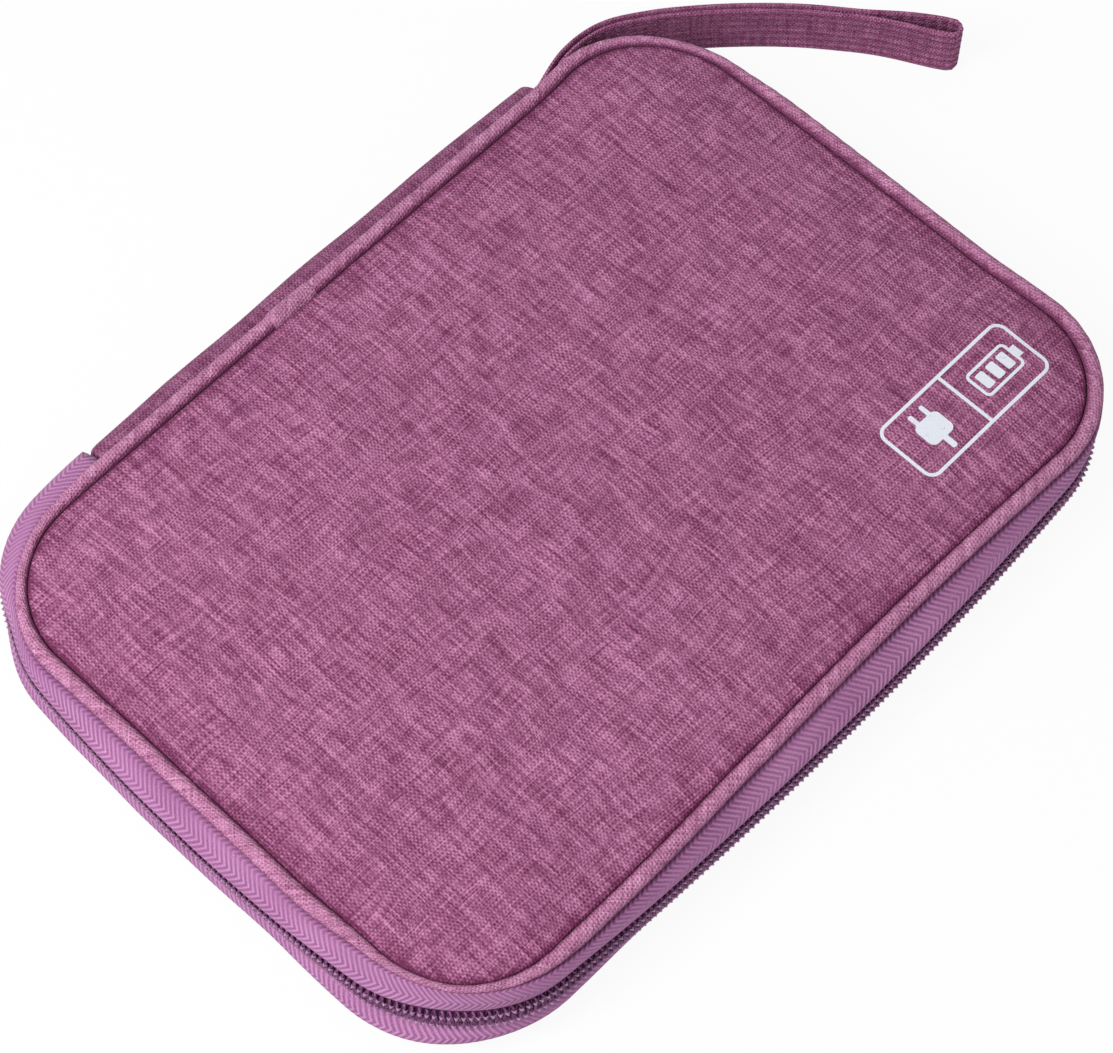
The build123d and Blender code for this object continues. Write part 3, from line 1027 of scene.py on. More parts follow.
# ---- The outline that the whole case follows ----------------------------------------------
@dataclass(frozen=True)
class Outline:
    """The piping's centreline from above: a rounded rectangle walked clockwise from the rear's middle."""

    half_length: float
    half_width: float
    corner: float = 30.2 * MM

    @classmethod
    def from_frame(cls) -> "Outline":
        """Reads the outline from the lid's piping cord.

        Returns:
            The outline.
        """
        low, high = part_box("lid_piping_cord")
        cord_radius = (high.z - low.z) / 2
        return cls((high.x - low.x) / 2 - cord_radius, (high.y - low.y) / 2 - cord_radius)

    @property
    def length(self) -> float:
        """The distance once round."""
        straights = 4 * (self.half_length + self.half_width - 2 * self.corner)
        return straights + 2 * math.pi * self.corner

    def walk(self, distance: Array) -> tuple[Array, Array]:
        """Points and outward directions at distances along the outline.

        Args:
            distance: How far along, clockwise.

        Returns:
            The points and the outward unit vectors, each n by 2.
        """
        long_half, short_half = self.half_length - self.corner, self.half_width - self.corner
        arc = math.pi / 2 * self.corner
        runs = [long_half, 2 * short_half, 2 * long_half, 2 * short_half, long_half]
        starts = [(0.0, self.half_width), (self.half_length, short_half), (long_half, -self.half_width)]
        starts += [(-self.half_length, -short_half), (-long_half, self.half_width)]
        centres = [(long_half, short_half), (long_half, -short_half)]
        centres += [(-long_half, -short_half), (-long_half, short_half)]
        distance = np.mod(np.asarray(distance, dtype=float), self.length)
        points = np.zeros((len(distance), 2))
        outward = np.zeros((len(distance), 2))
        begin = 0.0
        for k, run in enumerate(runs):
            angle = math.pi / 2 - k * math.pi / 2
            out = np.array([math.cos(angle), math.sin(angle)])
            heading = np.array([out[1], -out[0]])
            on = (distance >= begin) & (distance <= begin + run)
            points[on] = np.array(starts[k]) + heading * (distance[on] - begin)[:, None]
            outward[on] = out
            begin += run
            if k < 4:
                on = (distance > begin) & (distance < begin + arc)
                turned = angle - (distance[on] - begin) / self.corner
                outward[on] = np.stack([np.cos(turned), np.sin(turned)], axis=1)
                points[on] = np.array(centres[k]) + outward[on] * self.corner
                begin += arc
        return points, outward

    def sweep(self, distance: Array, profile: Array) -> Array:
        """Carries a profile along the outline.

        Args:
            distance: Where along the outline each station is.
            profile: Stations by points by 2: how far outward, and how high.

        Returns:
            Stations by points by 3.
        """
        points, outward = self.walk(distance)
        ground = points[:, None] + outward[:, None] * profile[..., :1]
        return np.concatenate([ground, profile[..., 1:]], axis=2)

    def offset(self, points: Array) -> Array:
        """How far outside the outline points lie, negative inside it.

        Args:
            points: Points from above, n by 2.

        Returns:
            The distances.
        """
        half = np.array([self.half_length, self.half_width]) - self.corner
        beyond = np.abs(points) - half
        outer = np.linalg.norm(np.maximum(beyond, 0), axis=1)
        return outer + np.minimum(np.max(beyond, axis=1), 0) - self.corner

    def place(self, spot: "Spot") -> float:
        """How far along the outline a named place is, worked out from the case's sides.

        Args:
            spot: The place.

        Returns:
            The distance, in metres.
        """
        side = self.length / 4
        corner = self.half_length - self.corner + self.corner * math.pi / 4
        low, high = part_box("spine_gusset")
        return {
            Spot.STRAP_END: high.x,
            Spot.STRAP_CORNER: corner,
            Spot.RIGHT: side,
            Spot.FRONT_RIGHT: 2 * side - corner,
            Spot.FRONT: 2 * side,
            Spot.FRONT_LEFT: 2 * side + corner,
            Spot.LEFT: 3 * side,
            Spot.HINGE_CORNER: 4 * side - corner,
            Spot.HINGE_END: 4 * side + low.x,
        }[spot]

    def around(self, distance: Array, course: "Course") -> Array:
        """A value that swells and dips round the case, in metres.

        Args:
            distance: How far along the outline.
            course: The plain level and the bows on it.

        Returns:
            The value at each distance.
        """
        shifts = np.linspace(-1, 1, 9)
        weights = (1 - shifts**2) / (1 - shifts**2).sum()
        total = np.full(len(distance), course.level * MM)
        for bow in course.bows:
            middle = self.place(bow.spot) + bow.shift * MM
            for shift, weight in zip(shifts, weights):
                apart = distance + shift * course.blur * MM - middle
                apart = (apart + self.length / 2) % self.length - self.length / 2
                dome = np.maximum(1 - (apart / (bow.reach * MM)) ** 2, 0)
                total += weight * bow.height * MM * dome
        return total

    def nearest(self, points: Array) -> Array:
        """The distance along the outline of the place nearest to each point.

        Args:
            points: The points.

        Returns:
            One distance for each point.
        """
        stations = np.linspace(0, self.length, 500, endpoint=False)
        walk, _ = self.walk(stations)
        apart = (points[:, None, 0] - walk[None, :, 0]) ** 2 + (points[:, None, 1] - walk[None, :, 1]) ** 2
        return stations[np.argmin(apart, axis=1)]


def gentle_noise(points: Array, size: float, seed: int) -> Array:
    """Smooth uneven ground for cloth that isn't quite flat, about -1 to 1.

    Args:
        points: Points from above, n by 2.
        size: The typical width of one swell.
        seed: Which pattern.

    Returns:
        The height at each point.
    """
    rng = np.random.default_rng(seed)
    total = np.zeros(len(points))
    for _ in range(9):
        angle, phase = rng.uniform(0, 2 * math.pi, 2)
        wave = size * rng.uniform(0.7, 1.8)
        heading = np.array([math.cos(angle), math.sin(angle)])
        total += np.sin(points @ heading * (2 * math.pi / wave) + phase)
    return total / 4


@dataclass(frozen=True)
class Pad:
    """A closed pad or sheet that fills the outline from above, with rounded edges."""

    name: str
    outline: Outline
    edge: float
    low: float
    high: float
    seam: float
    upper_reach: float
    lower_reach: float
    wave: float = 0.0
    seed: int = 1
    spacing: float = 4.0 * MM

    def face(self) -> tuple[Array, list[list[int]]]:
        """The pad from above: rings of points along its edge and an even lattice inside.

        Returns:
            The points, n by 2, and the triangles.
        """
        depths = [0.0, 0.35, 0.9, 1.8, 3.0, 4.6, 7.0]
        rings = max(12, int(self.outline.length / self.spacing))
        points: list[Array] = []
        for depth in depths:
            walk, out = self.outline.walk(np.arange(rings) * self.outline.length / rings)
            points.append(walk + out * (self.edge - depth * MM))
        extent = np.array([self.outline.half_length, self.outline.half_width])
        pitch_y = self.spacing * math.sqrt(0.75)
        rows = np.arange(-extent[1], extent[1], pitch_y)
        for number, y in enumerate(rows):
            x = np.arange(-extent[0], extent[0], self.spacing) + (number % 2) * self.spacing / 2
            row = np.stack([x, np.full_like(x, y)], axis=1)
            points.append(row[self.outline.offset(row) < self.edge - (depths[-1] * MM + self.spacing * 0.6)])
        loop = [(k, (k + 1) % rings) for k in range(rings)]
        flat = [Vector(point) for point in np.concatenate(points)]
        found, _, faces, *_ = delaunay_2d_cdt(flat, loop, [], 1, 1e-7)
        return np.array([tuple(point) for point in found]), [list(face) for face in faces]

    def build(self) -> tuple[bpy.types.Object, Array]:
        """Makes the pad's mesh.

        Returns:
            The piece, and the numbers of the vertices at its seam and on its flat side.
        """
        flat, triangles = self.face()
        depth = np.maximum(self.edge - self.outline.offset(flat), 0.0)
        uneven = self.wave * gentle_noise(flat, 38 * MM, self.seed) * np.minimum(depth / (12 * MM), 1.0)

        def rise(reach: float) -> Array:
            """A quarter round from 0 at the seam to 1."""
            return np.sqrt(np.maximum(1 - (1 - np.minimum(depth / reach, 1.0)) ** 2, 0))

        upper = self.seam + (self.high - self.seam) * rise(self.upper_reach) + uneven
        lower = self.seam + (self.low - self.seam) * rise(self.lower_reach)
        at_seam = depth < 1e-6
        upper[at_seam] = self.seam
        below = np.where(at_seam, np.arange(len(flat)), np.cumsum(~at_seam) - 1 + len(flat))
        points = np.concatenate(
            [np.column_stack([flat, upper]), np.column_stack([flat[~at_seam], lower[~at_seam]])]
        )
        faces = triangles + [[int(below[k]) for k in face[::-1]] for face in triangles]
        held = np.concatenate([np.flatnonzero(depth < 1.0 * MM), np.arange(len(flat), len(points))])
        return mesh_piece(self.name, points, faces), held

    def mirrored(self, piece: bpy.types.Object, height: float) -> None:
        """Turns a piece over between the heights 0 and the given one.

        Args:
            piece: The piece.
            height: The height that 0 turns over to.
        """
        points = vertex_points(piece)
        points[:, 2] = height - points[:, 2]
        piece.data.vertices.foreach_set("co", points.ravel())
        piece.data.flip_normals()
        piece.data.update()


# ---- The case's outside -----------------------------------------------------------------
class Spot(Enum):
    """The places round the case that its soft shape is told from."""

    STRAP_END = "where the strap leaves the spine"
    STRAP_CORNER = "the corner that the strap passes"
    RIGHT = "the middle of the right side"
    FRONT_RIGHT = "the front right corner"
    FRONT = "the middle of the front"
    FRONT_LEFT = "the front left corner"
    LEFT = "the middle of the left side"
    HINGE_CORNER = "the corner at the spine's plain end"
    HINGE_END = "the spine's plain end"


@dataclass(frozen=True)
class Bow:
    """One stretch that bows out, or in where its height is negative, in millimetres."""

    spot: Spot
    reach: float
    height: float
    shift: float = 0.0


@dataclass(frozen=True)
class Course:
    """A plain level round the case and the bows on it, in millimetres."""

    level: float
    bows: tuple[Bow, ...] = ()
    blur: float = 8.0


@dataclass(frozen=True)
class SoftShape:
    """How the soft case sits out of true."""

    lid_drift: Course = Course(
        0.0,
        (
            Bow(Spot.STRAP_CORNER, 20, 1.3, -12),
            Bow(Spot.RIGHT, 100, 1.5),
            Bow(Spot.FRONT_RIGHT, 32, 1.6, -10),
            Bow(Spot.FRONT, 50, -1.0, -33),
            Bow(Spot.FRONT_LEFT, 40, 1.1, -44),
            Bow(Spot.FRONT_LEFT, 22, -1.3, 21),
            Bow(Spot.LEFT, 95, -1.2, 15),
        ),
    )
    piping_radius: Course = Course(
        2.1,
        (
            Bow(Spot.STRAP_CORNER, 28, -0.7, 9),
            Bow(Spot.FRONT_LEFT, 32, -1.15, 4),
            Bow(Spot.HINGE_CORNER, 26, -0.75, 7),
        ),
    )
    chain: Course = Course(
        1.4,
        (
            Bow(Spot.STRAP_END, 40, 1.4),
            Bow(Spot.FRONT, 110, 5.4),
            Bow(Spot.LEFT, 66, 4.1),
            Bow(Spot.HINGE_END, 46, 7.0),
        ),
    )
    chain_tilt: Course = Course(
        0.0,
        (
            Bow(Spot.FRONT, 130, 1.1),
            Bow(Spot.FRONT_LEFT, 45, 2.0),
            Bow(Spot.HINGE_CORNER, 70, -0.8),
        ),
    )
    base_wall: Course = Course(
        2.0,
        (
            Bow(Spot.FRONT, 110, 4.3),
            Bow(Spot.FRONT_LEFT, 45, 2.4),
            Bow(Spot.LEFT, 85, 5.2),
            Bow(Spot.HINGE_END, 46, 5.6),
        ),
    )


@dataclass(frozen=True)
class PaddedCovers:
    """The heathered covers over their foam, top and bottom, and the cloth linings inside them."""

    outline: Outline
    height: float
    cover: float = 0.8 * MM
    foam: float = 2.6 * MM
    lining: float = 0.6 * MM
    seam_depth: float = 2.5 * MM
    pressure: float = 4.0
    swell_cap: float = 0.5 * MM
    drift_reach: float = 30.0 * MM
    inset: float = 1.95 * MM
    upper_reach: float = 9.0 * MM
    fill: float = 0.35
    shape: SoftShape = SoftShape()

    def build(self, finishes: Finishes) -> bpy.types.Object:
        """Makes both covers and both linings.

        Args:
            finishes: The materials.

        Returns:
            The lid's cover, which the print lies on.
        """
        covers = []
        for body, seed in (("base", 5), ("lid", 3)):
            pad = Pad(
                f"{body}_cover",
                self.outline,
                edge=-self.inset,
                low=self.height - self.cover - self.foam + 0.02 * MM,
                high=self.height - 0.35 * MM,
                seam=self.height - self.seam_depth,
                upper_reach=self.upper_reach,
                lower_reach=0.9 * MM,
                wave=0.16 * MM,
                seed=seed,
            )
            piece, held = pad.build()
            swell(piece, held, self.pressure, self.swell_cap)
            # Painted shade: the cover darkens along its edge, where shade falls in the groove beside the
            # piping.
            depth = np.maximum(pad.edge - self.outline.offset(vertex_points(piece)[:, :2]), 0) / MM
            paint_seam_shade(piece, 0.85 * np.exp(-((depth / 1.0) ** 2)) + 0.25 * np.exp(-depth / 4.0))
            if body == "base":
                pad.mirrored(piece, self.height)
            else:
                self.drift(piece)
            piece.modifiers.new("round", "SUBSURF").levels = 1
            settle(piece)
            dress(piece, finishes.cover, body)
            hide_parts(f"{body}_panel", f"{body}_foam")
            covers.append(piece)
            self.build_lining(body, finishes)
        return covers[1]

    def drift(self, piece: bpy.types.Object) -> None:
        """Draws the lid's cover out and in along its edge, as its piping goes.

        Args:
            piece: The piece.
        """
        points = vertex_points(piece)
        place = self.outline.nearest(points[:, :2])
        _, out = self.outline.walk(place)
        depth = -self.outline.offset(points[:, :2])
        share = np.clip(1 - depth / self.drift_reach, 0, 1)
        share = share * share * (3 - 2 * share)
        points[:, :2] += out * (self.outline.around(place, self.shape.lid_drift) * share)[:, None]
        piece.data.vertices.foreach_set("co", points.ravel())
        piece.data.update()

    def build_lining(self, body: str, finishes: Finishes) -> None:
        """Makes one lining.

        Args:
            body: The half of the case that it lines.
            finishes: The materials.
        """
        low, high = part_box(f"{body}_lining")
        pad = Pad(
            f"{body}_lining_cloth",
            self.outline,
            edge=high.x - self.outline.half_length,
            low=low.z + 0.05 * MM,
            high=high.z - 0.02 * MM,
            seam=(low.z + high.z) / 2,
            upper_reach=1.5 * MM,
            lower_reach=1.5 * MM,
            wave=0.04 * MM,
            seed=11,
            spacing=6.0 * MM,
        )
        piece, _ = pad.build()
        dress(piece, finishes.lining, body)
        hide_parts(f"{body}_lining")


@dataclass(frozen=True)
class Pipings:
    """The bias-cut piping round each cover, and the lap where the lid's piping ends meet."""

    outline: Outline
    full_radius: float = 2.1 * MM
    lap_radius: float = 2.55 * MM
    step: float = 1.3 * MM
    ripple: float = 0.07 * MM
    ripple_pitch: float = 5.2 * MM
    sides: int = 18
    shape: SoftShape = SoftShape()

    def build(self, finishes: Finishes) -> None:
        """Makes both pipings and the lap.

        Args:
            finishes: The materials.
        """
        rng = np.random.default_rng(17)
        for body in ("base", "lid"):
            low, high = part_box(f"{body}_piping_cord")
            middle = (low.z + high.z) / 2
            count = int(self.outline.length / self.step)
            distance = np.arange(count) * self.outline.length / count
            turn = np.linspace(0, 2 * math.pi, self.sides, endpoint=False)
            strength = np.interp(distance, np.linspace(0, self.outline.length, 90), rng.uniform(0.1, 1.0, 90))
            pull = np.sin(distance[:, None] * (2 * math.pi / self.ripple_pitch) + turn[None] * 1.0)
            slack = np.interp(distance, np.linspace(0, self.outline.length, 60), rng.uniform(-0.06, 0.06, 60))
            full = np.full(count, self.full_radius)
            centre = np.zeros(count)
            if body == "lid":
                full = self.outline.around(distance, self.shape.piping_radius)
                centre = self.outline.around(distance, self.shape.lid_drift) + full - self.full_radius
            radius = full[:, None] - self.ripple + self.ripple * strength[:, None] * pull
            out = centre[:, None] + radius * np.cos(turn)
            profile = np.stack([out, middle + radius * np.sin(turn) + slack[:, None] * MM], axis=2)
            piece = grid_piece(f"{body}_piping", self.outline.sweep(distance, profile), True, True)
            # Painted shade on the piping's sides that face the cover and the tape, where shade falls in the
            # seams' grooves.
            angle = np.degrees(turn)
            painted_shade_by_panel = np.clip((angle - 112) / 60, 0, 1) * (angle < 270)
            painted_shade_by_tape = np.clip((28 - np.where(angle > 270, angle - 360, angle)) / 60, 0, 1) * (angle > 270)
            painted_shade_by_tape = np.maximum(painted_shade_by_tape, np.clip((28 - angle) / 60, 0, 1))
            paint_seam_shade(piece, np.tile(np.maximum(painted_shade_by_panel, painted_shade_by_tape), (count, 1)))
            dress(piece, finishes.bias, body)
            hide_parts(f"{body}_piping_cover", f"{body}_piping_cord")
        self.build_lap(finishes)

    def build_lap(self, finishes: Finishes) -> None:
        """Makes the doubled cover where the lid's piping ends are tucked into each other.

        Args:
            finishes: The materials.
        """
        low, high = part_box("lid_piping_overlap")
        centre = Vector((0, (low.y + high.y) / 2, (low.z + high.z) / 2))
        x = np.linspace(low.x, high.x, 40)
        share = (x - low.x) / (high.x - low.x)
        fold = 0.10 * MM * np.exp(-(((share - 0.12) / 0.05) ** 2))
        radius = self.lap_radius - 0.32 * MM * (2 * share - 1) ** 6 + fold - 0.12 * MM
        line = np.column_stack([x, 0 * x + centre.y])
        drift = self.outline.around(self.outline.nearest(line), self.shape.lid_drift)
        path = np.column_stack([x, centre.y + drift, np.full_like(x, centre.z)])
        piece = tube("lid_piping_lap", path, radius, 20)
        dress(piece, finishes.bias, "lid")
        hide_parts("lid_piping_overlap")


@dataclass(frozen=True)
class CoilWire:
    """One monofilament coil: flattened turns with wider heads that lock with the other half's."""

    pitch: float
    wire: float
    head: float
    depth: float
    points_per_turn: int = 14
    sides: int = 6

    def build(
        self,
        name: str,
        place: Callable[[Array, Array, Array], Array],
        span: tuple[float, float],
        root: float,
        tip: float,
        late: bool,
    ) -> bpy.types.Object:
        """Winds the coil.

        Args:
            name: The piece's name.
            place: Turns distances along, across and out of the chain into points.
            span: Where the coil starts and ends along the chain.
            root: The side of the chain where its legs turn round, on the tape.
            tip: Where its heads reach.
            late: True to start half a turn later than the other coil.

        Returns:
            The coil.
        """
        turns = int((span[1] - span[0]) / self.pitch) - 1
        t = np.arange(turns * self.points_per_turn + 1) / self.points_per_turn
        swing = (1 - np.cos(2 * math.pi * t)) / 2
        across = tip + (root - tip) * swing
        out = self.depth * np.sin(2 * math.pi * t)
        along = span[0] + self.pitch * (t + (0.5 if late else 0.0))
        radius = self.wire + (self.head - self.wire) * np.exp(-((swing / 0.16) ** 2))
        return tube(name, place(along, across, out), radius, self.sides)


@dataclass(frozen=True)
class MainZip:
    """The zip round the case: two tapes that curve down to two locked coils."""

    outline: Outline
    pitch: float = 1.66 * MM
    tape: float = 0.45 * MM
    station: float = 2.4 * MM
    half_chain: float = 2.2 * MM
    tilt_depth: float = 6.0 * MM
    full_piping: float = 2.1 * MM
    coil_root: float = 1.95 * MM
    coil_tip: float = 0.30 * MM
    bead_level: float = 1.25 * MM
    bead: float = 1.05 * MM
    bead_gap: float = 0.61 * MM
    bead_radius: float = 0.36 * MM
    slider_reach: float = 50.0 * MM
    shape: SoftShape = SoftShape()

    def span(self) -> tuple[float, float]:
        """Where the zip starts and ends along the outline, at the spine's two ends.

        Returns:
            The two distances along the outline.
        """
        low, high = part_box("spine_gusset")
        margin = 0.4 * MM
        return high.x + margin, self.outline.length + low.x - margin

    def coil_offset(self, distance: Array) -> Array:
        """How far out the chain's middle stands from the piping's centreline."""
        return self.outline.around(distance, self.shape.chain)

    def tilt(self, distance: Array) -> Array:
        """How much further out the chain goes for each unit down."""
        return self.outline.around(distance, self.shape.chain_tilt) / self.tilt_depth

    def build(self, finishes: Finishes) -> None:
        """Makes both tapes, both coils and their stitching.

        Args:
            finishes: The materials.
        """
        start, end = self.span()
        distance = np.arange(start, end, self.station)
        middle = self.outline_middle()
        chain = self.coil_offset(distance)
        tilt = self.tilt(distance)
        drift = self.outline.around(distance, self.shape.lid_drift)
        base_wall = self.outline.around(distance, self.shape.base_wall)
        free = np.clip((chain - 1.5 * MM) / (1.5 * MM), 0, 1)
        rng = np.random.default_rng(29)
        knots = np.linspace(start, end, 48)
        loose = np.interp(distance, knots, rng.uniform(-0.16, 0.16, 48)) * MM * free
        upper = chain - self.half_chain * tilt
        lower = chain + self.half_chain * tilt
        round_edge = self.outline.around(distance, self.shape.piping_radius)
        lost = 1 - round_edge / self.full_piping
        edge = drift + 2 * round_edge - self.full_piping
        lid_profile = self.profile(
            [
                (edge - 0.67 * round_edge, 8.1 + 2.7 * lost),
                (edge + 0.6 * MM * free, 8.45 + 2.7 * lost),
                ((edge + upper) / 2 + (0.5 + 0.9 * free) * MM + loose, 6.3 + 0.9 * lost),
                (upper + (0.55 + 0.45 * free) * MM + loose / 2, 4.0),
                (upper + (0.2 + 0.3 * free) * MM, 2.55),
                (upper - 0.55 * MM, 1.85),
                (chain - 0.75 * MM, 0.35),
            ],
            middle,
        )
        base_profile = self.profile(
            [
                (chain - 0.75 * MM, -0.35),
                (lower - 0.55 * MM, -1.85),
                (lower + (0.2 + 0.3 * free) * MM, -2.55),
                ((lower + base_wall) / 2 + (0.45 + 0.45 * free) * MM, -4.1),
                (base_wall + loose, -6.0),
                (base_wall * 0.7 + 0.5 * MM + loose / 2, -7.6),
                (0.6 * MM + 0 * chain, -8.3),
            ],
            middle,
        )
        # Painted shade on the tapes: darker at the edge by the piping and near the coil, where shade falls in
        # the grooves.
        share = np.linspace(0, 1, lid_profile.shape[1])
        seam = 0.8 * np.exp(-((share / 0.14) ** 2)) + 0.6 * np.clip((share - 0.76) / 0.1, 0, 1)
        painted_tape_shade = {"lid": np.concatenate([seam, seam[::-1]]), "base": np.concatenate([seam[::-1], seam])}
        for body, outer in (("lid", lid_profile), ("base", base_profile)):
            grid = self.outline.sweep(distance, thick_profile(outer, self.tape))
            piece = grid_piece(f"{body}_tape", grid, False, True)
            paint_seam_shade(piece, np.tile(painted_tape_shade[body], (len(distance), 1)))
            dress(piece, finishes.tape, body)
            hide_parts(f"{body}_zip_tape")
        self.build_chain(finishes, middle, (start, end))

    def outline_middle(self) -> float:
        """The chain's height, half way up the case."""
        return (CAD_LOW.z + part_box("lid_panel")[1].z) / 2

    def profile(self, knots: Sequence[tuple[Array, float]], middle: float) -> Array:
        """A smooth section at each station.

        Args:
            knots: From top to bottom, how far out at each station and how high in millimetres.
            middle: The height that they count from.

        Returns:
            Stations by points by 2.
        """
        out = np.stack([knot[0] for knot in knots], axis=1)
        high = np.stack([np.full(out.shape[0], middle + knot[1] * MM) for knot in knots], axis=1)
        weights = spline_weights(len(knots), 19)
        return np.stack([out @ weights.T, high @ weights.T], axis=2)

    def build_chain(self, finishes: Finishes, middle: float, span: tuple[float, float]) -> None:
        """Makes the coils and the threads that hold them to their tapes.

        Args:
            finishes: The materials.
            middle: The chain's height.
            span: Where it starts and ends.
        """
        coil = CoilWire(self.pitch, 0.34 * MM, 0.48 * MM, 0.60 * MM)

        def place(along: Array, across: Array, out: Array) -> Array:
            """Points from distances along, up and out of the chain.

            Args:
                along: The coordinate along them.
                across: The coordinate across the threads.
                out: Distances out of the chain.

            Returns:
                Points, n by 3.
            """
            lean = self.coil_offset(along) - self.tilt(along) * across
            profile = np.stack([lean + 0.25 * MM + out, middle + across], axis=1)[:, None]
            return self.outline.sweep(along, profile)[:, 0]

        for body, way, late in (("lid", 1, False), ("base", -1, True)):
            piece = coil.build(f"{body}_coil", place, span, way * self.coil_root, -way * self.coil_tip, late)
            dress(piece, finishes.coil, body)
            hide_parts(f"{body}_zip_coil")
            along = np.arange(span[0], span[1], 1.0 * MM)
            level = np.full_like(along, way * self.bead_level)
            clear = np.clip((np.abs(along - self.outline.length / 4) - self.slider_reach) / (6 * MM), 0, 1)
            path = place(along, level, 0.60 * MM + 0.45 * MM * clear)
            _, out = self.outline.walk(along)
            lift = np.column_stack([out, np.zeros(len(out))])
            sizes = (self.bead, self.bead_gap, self.bead_radius)
            thread = stitches(f"{body}_coil_thread", [(path, lift)], *sizes)
            dress(thread, finishes.chain_thread, body)


@dataclass(frozen=True)
class Spine:
    """The soft spine between the two pipings, outside and in."""

    outline: Outline
    bulge: float = 10.3 * MM
    root: float = 2.2 * MM
    full_to: float = 81.0 * MM
    taper: float = 1.3 * MM
    taper_from: float = 30.0 * MM
    taper_over: float = 50.0 * MM
    narrow_by: float = 1.1 * MM
    flat_share: float = 0.16

    def build(self, finishes: Finishes) -> None:
        """Makes the padded gusset with its turned-in ends, and its lining.

        Args:
            finishes: The materials.
        """
        low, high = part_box("spine_gusset")
        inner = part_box("spine_foam")[0].y + 0.02 * MM
        middle, half = (low.z + high.z) / 2, (high.z - low.z) / 2
        x = np.concatenate(
            [
                np.linspace(low.x, low.x + 3 * MM, 7),
                np.arange(low.x + 6 * MM, self.full_to - 5 * MM, 4 * MM),
                np.linspace(self.full_to - 2 * MM, self.full_to, 9),
                np.linspace(self.full_to + MM, high.x, 6),
            ]
        )
        turn = np.linspace(-math.pi / 2, math.pi / 2, 22)
        rounding = np.sign(np.sin(turn)) * np.abs(np.sin(turn)) ** 0.85
        narrow = half - self.narrow_by * np.clip((x - (self.full_to - 8 * MM)) / (10 * MM), 0, 1)
        level = middle + narrow[:, None] * rounding[None]
        base_line = self.outline.half_width
        thin = base_line + self.root - inner
        tapered = np.clip((x - self.taper_from) / self.taper_over, 0, 1)
        full = base_line + self.bulge - inner - self.taper * tapered
        left_end = np.clip((x - low.x) / (3.0 * MM), 0, 1)
        right_end = np.clip((self.full_to - x) / (1.6 * MM), 0, 1)
        filling = np.clip((x - low.x) / (25 * MM), 0, 1)
        share = np.sqrt(np.maximum(0, 1 - (1 - left_end) ** 2)) * 0.12 + 0.80 + 0.08 * filling
        share = share * np.sqrt(np.maximum(0, 1 - (1 - right_end) ** 2))
        uneven = 0.3 * MM * gentle_noise(np.column_stack([x, 0 * x]), 45 * MM, 8) * share
        swell_out = np.abs(np.cos(turn)) ** 0.8
        reach = thin + (full - thin) * share + uneven
        outer_y = inner + 0.3 * MM + (reach - 0.3 * MM)[:, None] * swell_out[None]
        outer = np.stack([np.repeat(x[:, None], len(turn), 1), outer_y, level], axis=2)
        back = outer[:, ::-1].copy()
        back[..., 1] = inner
        piece = grid_piece("spine_gusset_pad", np.concatenate([outer, back], axis=1), False, True)
        dress(piece, finishes.gusset, "spine")
        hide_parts("spine_gusset", "spine_foam")
        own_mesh(piece)
        self.build_lining(finishes)

    def build_lining(self, finishes: Finishes) -> None:
        """Makes the spine's lining cloth.

        Args:
            finishes: The materials.
        """
        low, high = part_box("spine_lining")
        x = np.arange(low.x, self.full_to + 2 * MM, 5 * MM)
        uneven = 0.05 * MM * gentle_noise(np.column_stack([x, 0 * x]), 26 * MM, 4)
        path = np.column_stack([x, (low.y + high.y) / 2 + uneven, np.full_like(x, (low.z + high.z) / 2)])
        piece = ribbon("spine_lining_cloth", path, (0, 0, 1), high.z - low.z, high.y - low.y - 0.12 * MM)
        dress(piece, finishes.lining, "spine")
        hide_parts("spine_lining")


